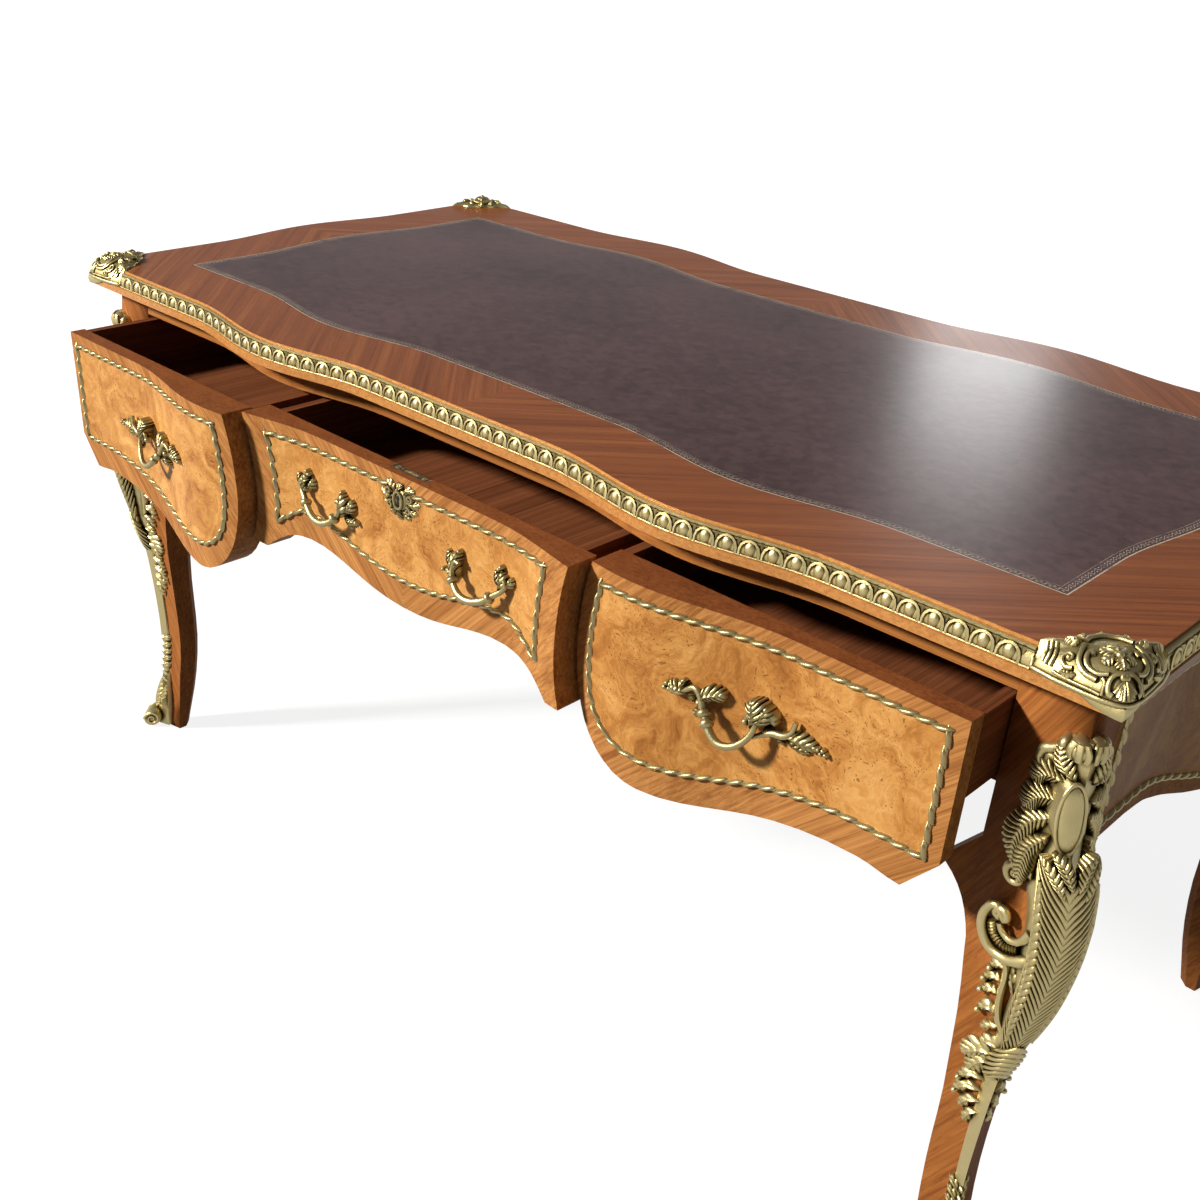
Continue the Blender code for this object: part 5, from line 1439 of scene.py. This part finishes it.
def knee_scrolls(cast):
    """The C-scroll and the small roll on each face, and the pierced foliage below them."""
    for sign in (-1, 1):
        eye = spiral((0.0450, 0.5150), 0.0075, 0.9, 3.6, -1, 0.35, 16)[::-1]
        sweep = [(0.0590, 0.5010), (0.0545, 0.4870), (0.0450, 0.4760), (0.0330, 0.4725), (0.0190, 0.4770),
                 (0.0040, 0.4920)]
        outer = along_path(mirrored(np.concatenate([eye, [(0.0515, 0.5215), (0.0575, 0.5130)], sweep]), sign), 60)
        cast.tube(lifted(outer, 0.0105), np.linspace(0.0040, 0.0058, 60), sides=9)
        inner = along_path(mirrored([(0.0425, 0.5050), (0.0385, 0.4990), (0.0300, 0.4950), (0.0200, 0.5000),
                                     (0.0130, 0.5170)], sign), 30)
        cast.tube(lifted(inner, 0.0100), np.linspace(0.0030, 0.0042, 30), sides=8)
        groove = along_path(mirrored([(0.0500, 0.5030), (0.0440, 0.4900), (0.0320, 0.4840), (0.0180, 0.4900)], sign), 40)
        cast.tube(lifted(groove, 0.0070), 0.0052 + 0.0010 * np.cos(np.arange(40) * 2.1), sides=8)
        cast.dome((sign * 0.0450, 0.5150), 0.0044, 0.0044, 0.0150)
        roll = np.concatenate([[(0.026, 0.572), (0.038, 0.571)], spiral((0.0430, 0.5600), 0.0102, 1.3, 1.3, -1)])
        cast.tube(lifted(mirrored(along_path(roll, 44), sign), 0.0085), np.linspace(0.0050, 0.0028, 44), sides=9)
        cast.dome((sign * 0.0430, 0.5600), 0.0045, 0.0045, 0.0125)
        stem = along_path(mirrored([(0.032, 0.472), (0.022, 0.458), (0.019, 0.425), (0.013, 0.398), (0.004, 0.384)],
                                   sign), 30)
        cast.tube(lifted(stem, 0.0050), np.linspace(0.0040, 0.0030, 30), sides=7)
        for spine, width, lobes in (
                ([(0.021, 0.459), (0.030, 0.458), (0.038, 0.450)], 0.0060, 3),
                ([(0.020, 0.442), (0.031, 0.442), (0.040, 0.434)], 0.0062, 3),
                ([(0.019, 0.427), (0.029, 0.426), (0.038, 0.419)], 0.0060, 3),
                ([(0.013, 0.400), (0.024, 0.405), (0.035, 0.397)], 0.0070, 3),
                ([(0.008, 0.432), (0.012, 0.448), (0.018, 0.466)], 0.0060, 4),
                ([(0.010, 0.392), (0.018, 0.386), (0.026, 0.376)], 0.0056, 3),
                ([(-0.002, 0.356), (0.016, 0.353), (0.034, 0.334)], 0.0130, 6),
                ([(-0.002, 0.350), (0.012, 0.342), (0.024, 0.316)], 0.0110, 6),
                ([(-0.002, 0.360), (0.010, 0.367), (0.022, 0.362)], 0.0080, 4),
                ([(0.006, 0.318), (0.018, 0.316), (0.030, 0.304)], 0.0068, 3),
                ([(0.006, 0.302), (0.018, 0.299), (0.031, 0.284)], 0.0070, 3),
                ([(0.005, 0.288), (0.014, 0.283), (0.021, 0.266)], 0.0062, 3),
                ([(0.004, 0.273), (0.010, 0.268), (0.013, 0.251)], 0.0052, 3)):
            cast.leaf(mirrored(spine, sign), width, lobes, 0.0052, out=0.0025, base=0.0004)
        berries(cast, mirrored(((0.0375, 0.4480), (0.0395, 0.4330), (0.0385, 0.4190), (0.0340, 0.3950),
                                (0.0290, 0.3030), (0.0290, 0.2840)), sign), 0.0036, 0.004)


def knee_strip(cast):
    """The square strip below the leaves, and small leaves where it nears the foot."""
    cast.tube(lifted([(0, z) for z in np.linspace(0.172, 0.330, 30)], 0.0030), np.linspace(0.0066, 0.0082, 30),
              sides=4)
    for z in np.arange(0.108, 0.168, 0.0125):
        for sign in (-1, 1):
            cast.leaf([(0, z), (sign * 0.006, z + 0.010), (sign * 0.0105, z + 0.016)], 0.0046, 3, 0.0050, out=0.003)
        cast.dome((0, z + 0.007), 0.0030, 0.0040, 0.0100)


for corner, (side, end) in CORNERS.items():
    cast = Casting(leg_lay(side, end))
    knee_plate(cast)
    knee_head(cast)
    knee_scrolls(cast)
    knee_strip(cast)
    plume = Casting(plume_lay(side, end))
    knee_plume(plume)
    oval = Casting(toe_lay(side, end))
    knee_oval(oval)
    cast.gather(plume)
    cast.gather(oval)
    knee = cast.piece("cast_leg_mount_" + corner, "desk", ["leg_mount_" + corner])
print("knee mount faces:", len(knee.data.polygons))

# %% Toe mounts
SABOT_KNOTS = ((0.0015, 0.0190, 0.0050), (0.030, 0.0200, 0.0065), (0.060, 0.0185, 0.0065),
               (0.080, 0.0145, 0.0060), (0.094, 0.0125, 0.0050), (0.103, 0.0110, 0.0045))
FLUTES = 7


def toe_mount(side, end):
    """A fluted collar that ends in a scroll under the toe."""
    cast = Casting(leg_lay(side, end))
    z = np.linspace(SABOT_KNOTS[0][0], SABOT_KNOTS[-1][0], 36)
    half, thick = smooth_through(SABOT_KNOTS, z).T
    v = np.linspace(-1, 1, 57)[None, :]
    flute = 1 + 0.28 * np.cos(2 * np.pi * FLUTES * v) * np.clip((z[:, None] - 0.03) / 0.02, 0, 1)
    height = thick[:, None] * flute
    cast.relief(np.stack([half[:, None] * v, np.broadcast_to(z[:, None], height.shape), height], -1), 0.0006)
    for level, reach, thick in ((0.1015, 0.0112, 0.0024), (0.0900, 0.0132, 0.0022)):
        line = [(s, level) for s in np.linspace(-reach, reach, 15)]
        cast.tube(lifted(line, 0.0055), thick, sides=6)
    for sign in (-1, 1):
        cast.leaf([(sign * 0.003, 0.040), (sign * 0.009, 0.062), (sign * 0.012, 0.084)], 0.0062, 5, 0.0050, out=0.005)
    cast.leaf([(0, 0.030), (0, 0.088)], 0.0070, 6, 0.0060, out=0.006)
    roll = Casting(toe_lay(side, end))
    across = np.linspace(-0.0155, 0.0155, 9)
    ends = 1 - 0.12 * (across / 0.0155) ** 4
    roll.tube([(t, 0.0165, 0.0120) for t in across], 0.0150 * ends, sides=18, level=(0, 1, 0))
    for sign in (-1, 1):
        flat_spiral = spiral((0.0165, 0.0120), 0.0130, 1.6, 1.6, -1, 0.18)
        path = [(sign * 0.0160, z, out) for z, out in flat_spiral]
        roll.tube(path, np.linspace(0.0026, 0.0018, len(path)), sides=6, level=(1, 0, 0))
    cast.gather(roll)
    return cast


for corner, (side, end) in CORNERS.items():
    toe = toe_mount(side, end).piece("cast_sabot_" + corner, "desk", ["sabot_" + corner])
print("toe mount faces:", len(toe.data.polygons))

# %% [markdown]
# ## Corner clasps
# A clasp folds over each corner of the top: a flower in an oval frame, C-scrolls on both sides, a shell at the
# corner and a fluted collar where the egg-and-dart begins. The body is built from the clasp's scalloped outline, as
# rings that shrink and rise, the ornament is laid on it, and the imported clasp is hidden.

# %% The body of a clasp
CLASP_SKIRT = 0.0150
CLASP_CROWN = 0.0085
CLASP_MIDDLE = np.array([0.0190, 0.0190])
CLASP_TURNS = np.linspace(0, math.pi / 2, 41)


def clasp_outline():
    """Plan of a clasp: inward distances from the corner, scalloped over the top."""
    reach, skirt = CLASP_REACH, CLASP_SKIRT
    half = [(reach, 0.003), (reach * 0.96, -skirt * 0.62), (reach * 0.66, -skirt * 0.90), (reach * 0.30, -skirt),
            (skirt * 0.45, -skirt * 1.0), (-skirt * 0.30, -skirt * 0.88)]
    corner = [(-skirt * 0.68, -skirt * 0.68)]
    inner = [(reach * 0.90, reach * 0.12), (reach * 0.82, reach * 0.20), (reach * 0.80, reach * 0.34),
             (reach * 0.66, reach * 0.44), (reach * 0.58, reach * 0.58)]
    outline = half + corner + [(q, p) for p, q in reversed(half)]
    outline += [(q, p) for p, q in inner] + inner[-2::-1]
    return even_line(np.array(outline + outline[:1]), 0.0028)[:-1]


CLASP_LOOP = clasp_outline()
CLASP_SPOKES = CLASP_LOOP - CLASP_MIDDLE
CLASP_ANGLES = np.arctan2(CLASP_SPOKES[:, 1], CLASP_SPOKES[:, 0])
CLASP_RADII = np.linalg.norm(CLASP_SPOKES, axis=1)
CLASP_DROPS = CLASP_CROWN - SEAT_GAP + (DESK_HEIGHT - LIP_TOP - 2 * SEAT_GAP) * np.clip(
    -CLASP_LOOP.min(axis=1) / (CLASP_SKIRT * 0.5), 0, 1)


def dome_lay(side, end):
    """Lay points of a clasp's skin, drawn as if it were spread flat, back on its dome."""
    on_corner = corner_lay(side, end)

    def lay(points):
        points = np.asarray(points, float)
        spokes, out = points[:, :2] - CLASP_MIDDLE, points[:, 2]
        length = np.maximum(np.linalg.norm(spokes, axis=1), 1e-6)
        away = spokes / length[:, None]
        angle = np.arctan2(away[:, 1], away[:, 0])
        radius = np.interp(angle, CLASP_ANGLES, CLASP_RADII, period=2 * math.pi)
        drop = np.interp(angle, CLASP_ANGLES, CLASP_DROPS, period=2 * math.pi)
        flat = radius[:, None] * np.sin(CLASP_TURNS)
        fall = drop[:, None] * (1 - np.cos(CLASP_TURNS))
        skin = np.cumsum(np.hypot(np.diff(flat, prepend=0), np.diff(fall, prepend=0)), axis=1)
        turn = np.array([np.interp(reach, row, CLASP_TURNS) for reach, row in zip(length, skin)])
        slope = np.stack([drop * np.sin(turn), radius * np.cos(turn)], -1)
        slope /= np.linalg.norm(slope, axis=1)[:, None]
        plan = CLASP_MIDDLE + away * (radius * np.sin(turn) + out * slope[:, 0])[:, None]
        height = CLASP_CROWN - drop * (1 - np.cos(turn)) + out * slope[:, 1]
        return on_corner(np.column_stack([plan, height]))
    return lay


def clasp_body(cast):
    """The rounded body, as rings of its outline that shrink and rise, and the plain bead along its rim."""
    rings = [np.column_stack([CLASP_MIDDLE + CLASP_SPOKES * math.sin(turn),
                              CLASP_CROWN - CLASP_DROPS * (1 - math.cos(turn))]) for turn in CLASP_TURNS[:0:-3]]
    count = len(CLASP_LOOP)
    index = np.arange(count * len(rings)).reshape(len(rings), count)
    turned = np.roll(index, -1, axis=1)
    quads = np.stack([index[:-1], turned[:-1], turned[1:], index[1:]], -1).reshape(-1, 4)
    cast.add(np.concatenate(rings), [*quads, index[0][::-1], index[-1]])
    rim = CLASP_LOOP.min(axis=1) < -0.004
    cast.tube(np.column_stack([CLASP_LOOP[rim], CLASP_CROWN - CLASP_DROPS[rim] + 0.0030]), 0.0022)


LIP_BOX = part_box("top_panel")
LIP_OUT = LIP_BOX[1].x - HALF_WIDTH - BOW_RISE
TONGUE_REACH = 0.036


def lip_lay(side, end):
    """Lay points (distance from the lip's corner, height, outward) on the two edges of the lip."""
    def lay(points):
        s, z, out = np.asarray(points, float).T
        turn = np.radians(45) * (1 - np.clip(s / 0.004, -1, 1))
        p = np.maximum(s, 0) - LIP_OUT - out * np.sin(turn)
        q = np.maximum(-s, 0) - LIP_OUT - out * np.cos(turn)
        return np.stack([side * (HALF_WIDTH - p), CENTRE_Y + end * (HALF_DEPTH - q), z], -1)
    return lay


def clasp_tongue(cast):
    """The skirt that hides the lip at the very corner."""
    u, v = np.meshgrid(np.linspace(-1, 1, 61), np.linspace(0, 1, 7), indexing="ij")
    drop = (LIP_TOP - LIP_BOX[0].z) * np.cos(u * math.pi / 2) ** 0.7
    z = LIP_TOP + 0.0022 - v * (drop + 0.0022)
    cast.relief(np.stack([u * TONGUE_REACH, z, 0.0012 + 0.0016 * np.sin(np.pi * v)], -1), 0.0003)


print("clasp outline:", len(CLASP_LOOP), "points")

# %% The ornament of a clasp
# Points on the spread skin, for one half of a clasp: scrolls with their thickness, then leaves with their width
CLASP_SCROLLS = (
    (0.0026, [(0.0385, 0.0095), (0.0367, 0.0020), (0.0341, -0.0068), (0.0260, -0.0136), (0.0149, -0.0153)]),
    (0.0024, [(0.0272, 0.0020), (0.0285, 0.0052), (0.0312, 0.0035), (0.0304, -0.0025), (0.0260, -0.0083),
              (0.0166, -0.0107), (0.0088, -0.0077)]),
    (0.0026, [(-0.0028, -0.0042), (-0.0053, -0.0021), (-0.0019, -0.0008), (0.0026, -0.0040), (0.0051, -0.0091),
              (0.0041, -0.0151), (0.0007, -0.0196), (-0.0034, -0.0199)]),
    (0.0017, [(0.0112, -0.0122), (0.0080, -0.0145), (0.0060, -0.0195), (0.0044, -0.0237)]),
    (0.0020, [(0.0428, -0.0062), (0.0404, -0.0046), (0.0440, -0.0020), (0.0480, -0.0059), (0.0467, -0.0103),
              (0.0422, -0.0132), (0.0372, -0.0128)]),
    (0.0014, [(0.0540, -0.0172), (0.0476, -0.0196), (0.0275, -0.0232), (0.0064, -0.0240)]),
    (0.0018, [(0.0606, 0.0020), (0.0590, -0.0060), (0.0612, -0.0130)]),
    (0.0018, [(0.0570, 0.0025), (0.0545, -0.0060), (0.0568, -0.0140)]),
    (0.0016, [(0.0636, 0.0010), (0.0628, -0.0060), (0.0640, -0.0115)]),
)
CLASP_LEAVES = (
    (0.0062, [(0.0108, 0.0108), (0.0200, 0.0115), (0.0275, 0.0125)]),
    (0.0062, [(0.0108, 0.0108), (0.0150, 0.0050), (0.0180, -0.0015)]),
    (0.0044, [(0.0330, -0.0165), (0.0400, -0.0180), (0.0480, -0.0165)]),
    (0.0044, [(0.0430, 0.0060), (0.0480, 0.0080), (0.0540, 0.0080)]),
    (0.0050, [(0.0420, 0.0160), (0.0450, 0.0220), (0.0500, 0.0260)]),
)
SHELL_TIPS = ((-0.0040, -0.0172), (-0.0078, -0.0182), (-0.0112, -0.0182), (-0.0138, -0.0170))


def both_ways(path):
    """A path and its twin on the other side of the corner's diagonal."""
    return np.asarray(path), np.asarray(path)[:, ::-1]


def clasp_ornament(cast):
    """Scrolls round a flower, volutes and a shell at the corner, and ribbed collars at both ends."""
    for thick, path in CLASP_SCROLLS:
        for way in both_ways(path):
            cast.tube(lifted(along_path(way, 34), 0.0009), np.linspace(thick * 0.85, thick, 34))
    crest = [(0.0400, 0.0130), (0.0400, 0.0250), (0.0352, 0.0352), (0.0250, 0.0400), (0.0130, 0.0400)]
    cast.tube(lifted(along_path(crest, 40), 0.0010), 0.0027)
    for width, spine in CLASP_LEAVES:
        for way in both_ways(spine):
            cast.leaf(way, width, 4, 0.0034, base=-0.002, lean=0.5)
    for spine in ([(0.0108, 0.0108), (0.0255, 0.0255)], [(0.0108, 0.0108), (0.0010, 0.0010)],
                  [(0.0350, 0.0350), (0.0420, 0.0420)]):
        cast.leaf(spine, 0.0062, 4, 0.0036, base=-0.002, lean=0.5)
    cast.dome((0.0108, 0.0108), 0.0036, 0.0036, 0.0040, base=-0.002, out=0.0020)
    for tip in SHELL_TIPS:
        for way in both_ways([(-0.0040, -0.0050), tip]):
            cast.tube(lifted(along_path(way, 8), 0.0006), np.linspace(0.0009, 0.0025, 8))
    for way in both_ways([(0.0447, 0.0090), (0.0430, -0.0060)]):
        for place in way:
            cast.dome(place, 0.0028, 0.0028, 0.0036, base=-0.002, steps=6)


for corner, (side, end) in CORNERS.items():
    body = Casting(corner_lay(side, end))
    clasp_body(body)
    cast = Casting(dome_lay(side, end))
    clasp_ornament(cast)
    tongue = Casting(lip_lay(side, end))
    clasp_tongue(tongue)
    body.gather(cast)
    body.gather(tongue)
    clasp = body.piece("cast_corner_clasp_" + corner, "desk", ["corner_clasp_" + corner])
print("clasp faces:", len(clasp.data.polygons))

# %% [markdown]
# ## Studio
# The desk stands on a plain pale floor under soft light. A large lamp high on the left models the carving, a
# weaker one fills the shadows, and the camera stands where the photographer stood: close to the right-hand end,
# above the top, looking down along the drawers.

# %% Floor, lamps and camera
FLOOR_SIZE = 80.0
CAMERA_PLACE = (1.0788, -1.3184, 1.2893)
CAMERA_YAW = math.radians(-43.31)
CAMERA_PITCH = math.radians(29.656)
CAMERA_ROLL = math.radians(2.967)
CAMERA_LENS = 41.09
CAMERA_SHIFT = (0.0296, 0.0449)


def build_floor():
    """A pale floor that keeps the desk's shadow and looks white to the camera further out."""
    mesh = bpy.data.meshes.new("floor")
    half = FLOOR_SIZE / 2
    mesh.from_pydata([(-half, -half, 0), (half, -half, 0), (half, half, 0), (-half, half, 0)], [], [(0, 1, 2, 3)])
    floor = bpy.data.objects.new("floor", mesh)
    bpy.context.scene.collection.objects.link(floor)
    material, point = new_finish("pale_floor")
    speckle = clouds(point, 30.0)
    distance = point.node("VectorMath", {"operation": "LENGTH"}, {0: point}, "Value")
    far = distance.node("MapRange", {"interpolation_type": "SMOOTHSTEP"}, {0: distance, 1: 0.6, 2: 3.4, 3: 0.86, 4: 1.0})
    rays = [point.node("LightPath", {}, {}, kind) for kind in
            ("Is Camera Ray", "Is Glossy Ray", "Is Transmission Ray")]
    mirrored_share = rays[1].sum("MAXIMUM", rays[1], rays[2]) * 0.6
    glow = far * rays[0].sum("MAXIMUM", rays[0], mirrored_share)
    point.shade({"Base Color": speckle.ramp((0.0, (0.19, 0.19, 0.19)), (1.0, (0.21, 0.21, 0.21))),
                 "Roughness": 0.9, "Specular IOR Level": 0.1,
                 "Emission Color": glow.ramp((0.0, (0, 0, 0)), (1.0, (1, 1, 1))), "Emission Strength": 1.0})
    mesh.materials.append(material)


def add_lamp(name, place, target, size, power, tint=(1.0, 1.0, 1.0)):
    """A square lamp that looks at a target."""
    data = bpy.data.lights.new(name, "AREA")
    data.size = size
    data.energy = power
    data.color = tint
    lamp = bpy.data.objects.new(name, data)
    lamp.location = place
    lamp.rotation_euler = (Vector(target) - Vector(place)).to_track_quat("-Z", "Y").to_euler()
    bpy.context.scene.collection.objects.link(lamp)


def build_camera():
    """The camera at the photograph's place and angle."""
    ahead = Vector((math.sin(CAMERA_YAW) * math.cos(CAMERA_PITCH), math.cos(CAMERA_YAW) * math.cos(CAMERA_PITCH),
                    -math.sin(CAMERA_PITCH)))
    level = Vector((math.cos(CAMERA_YAW), -math.sin(CAMERA_YAW), 0.0))
    upright = level.cross(ahead)
    right = math.cos(CAMERA_ROLL) * level + math.sin(CAMERA_ROLL) * upright
    up = -math.sin(CAMERA_ROLL) * level + math.cos(CAMERA_ROLL) * upright
    data = bpy.data.cameras.new("camera")
    data.lens = CAMERA_LENS
    data.shift_x, data.shift_y = CAMERA_SHIFT
    camera = bpy.data.objects.new("camera", data)
    place = (CAMERA_PLACE[0], CAMERA_PLACE[1] + CENTRE_Y, CAMERA_PLACE[2])
    camera.matrix_world = Matrix([(right[i], up[i], -ahead[i], place[i]) for i in range(3)] + [(0, 0, 0, 1)])
    bpy.context.scene.collection.objects.link(camera)
    bpy.context.scene.camera = camera


def build_world():
    """White to the eye, a white horizon in the metal, and little light."""
    world = bpy.data.worlds.new("studio")
    world.use_nodes = True
    tree = world.node_tree
    way = Signal(tree, tree.nodes.new("ShaderNodeTexCoord").outputs["Generated"])
    horizon = way.node("MapRange", {"interpolation_type": "SMOOTHSTEP"},
                       {0: way.parts()[2], 1: 0.05, 2: 0.22, 3: 1.0, 4: 0.16})
    rays = [way.node("LightPath", {}, {}, kind) for kind in
            ("Is Camera Ray", "Is Glossy Ray", "Is Transmission Ray")]
    mirrored_share = rays[1].sum("MAXIMUM", rays[1], rays[2]) * horizon
    seen = rays[0].sum("MAXIMUM", rays[0], mirrored_share)
    way.feed(tree.nodes["Background"].inputs["Strength"], seen.sum("MAXIMUM", seen, 0.08))
    tree.nodes["Background"].inputs["Color"].default_value = (1.0, 1.0, 1.0, 1.0)
    bpy.context.scene.world = world


build_floor()
build_world()
add_lamp("key", (-6.2, -8.5, 6.45), (0.0, 0.0, 0.55), 1.25, 2350.0, (1.0, 0.97, 0.92))
add_lamp("fill", (2.6, -2.2, 1.6), (0.2, 0.0, 0.5), 2.0, 1.0)
add_lamp("back", (-0.82, 2.52, 1.51), (0.28, 0.25, 0.78), 0.38, 3.5)
build_camera()
bpy.context.scene.view_settings.view_transform = "Standard"
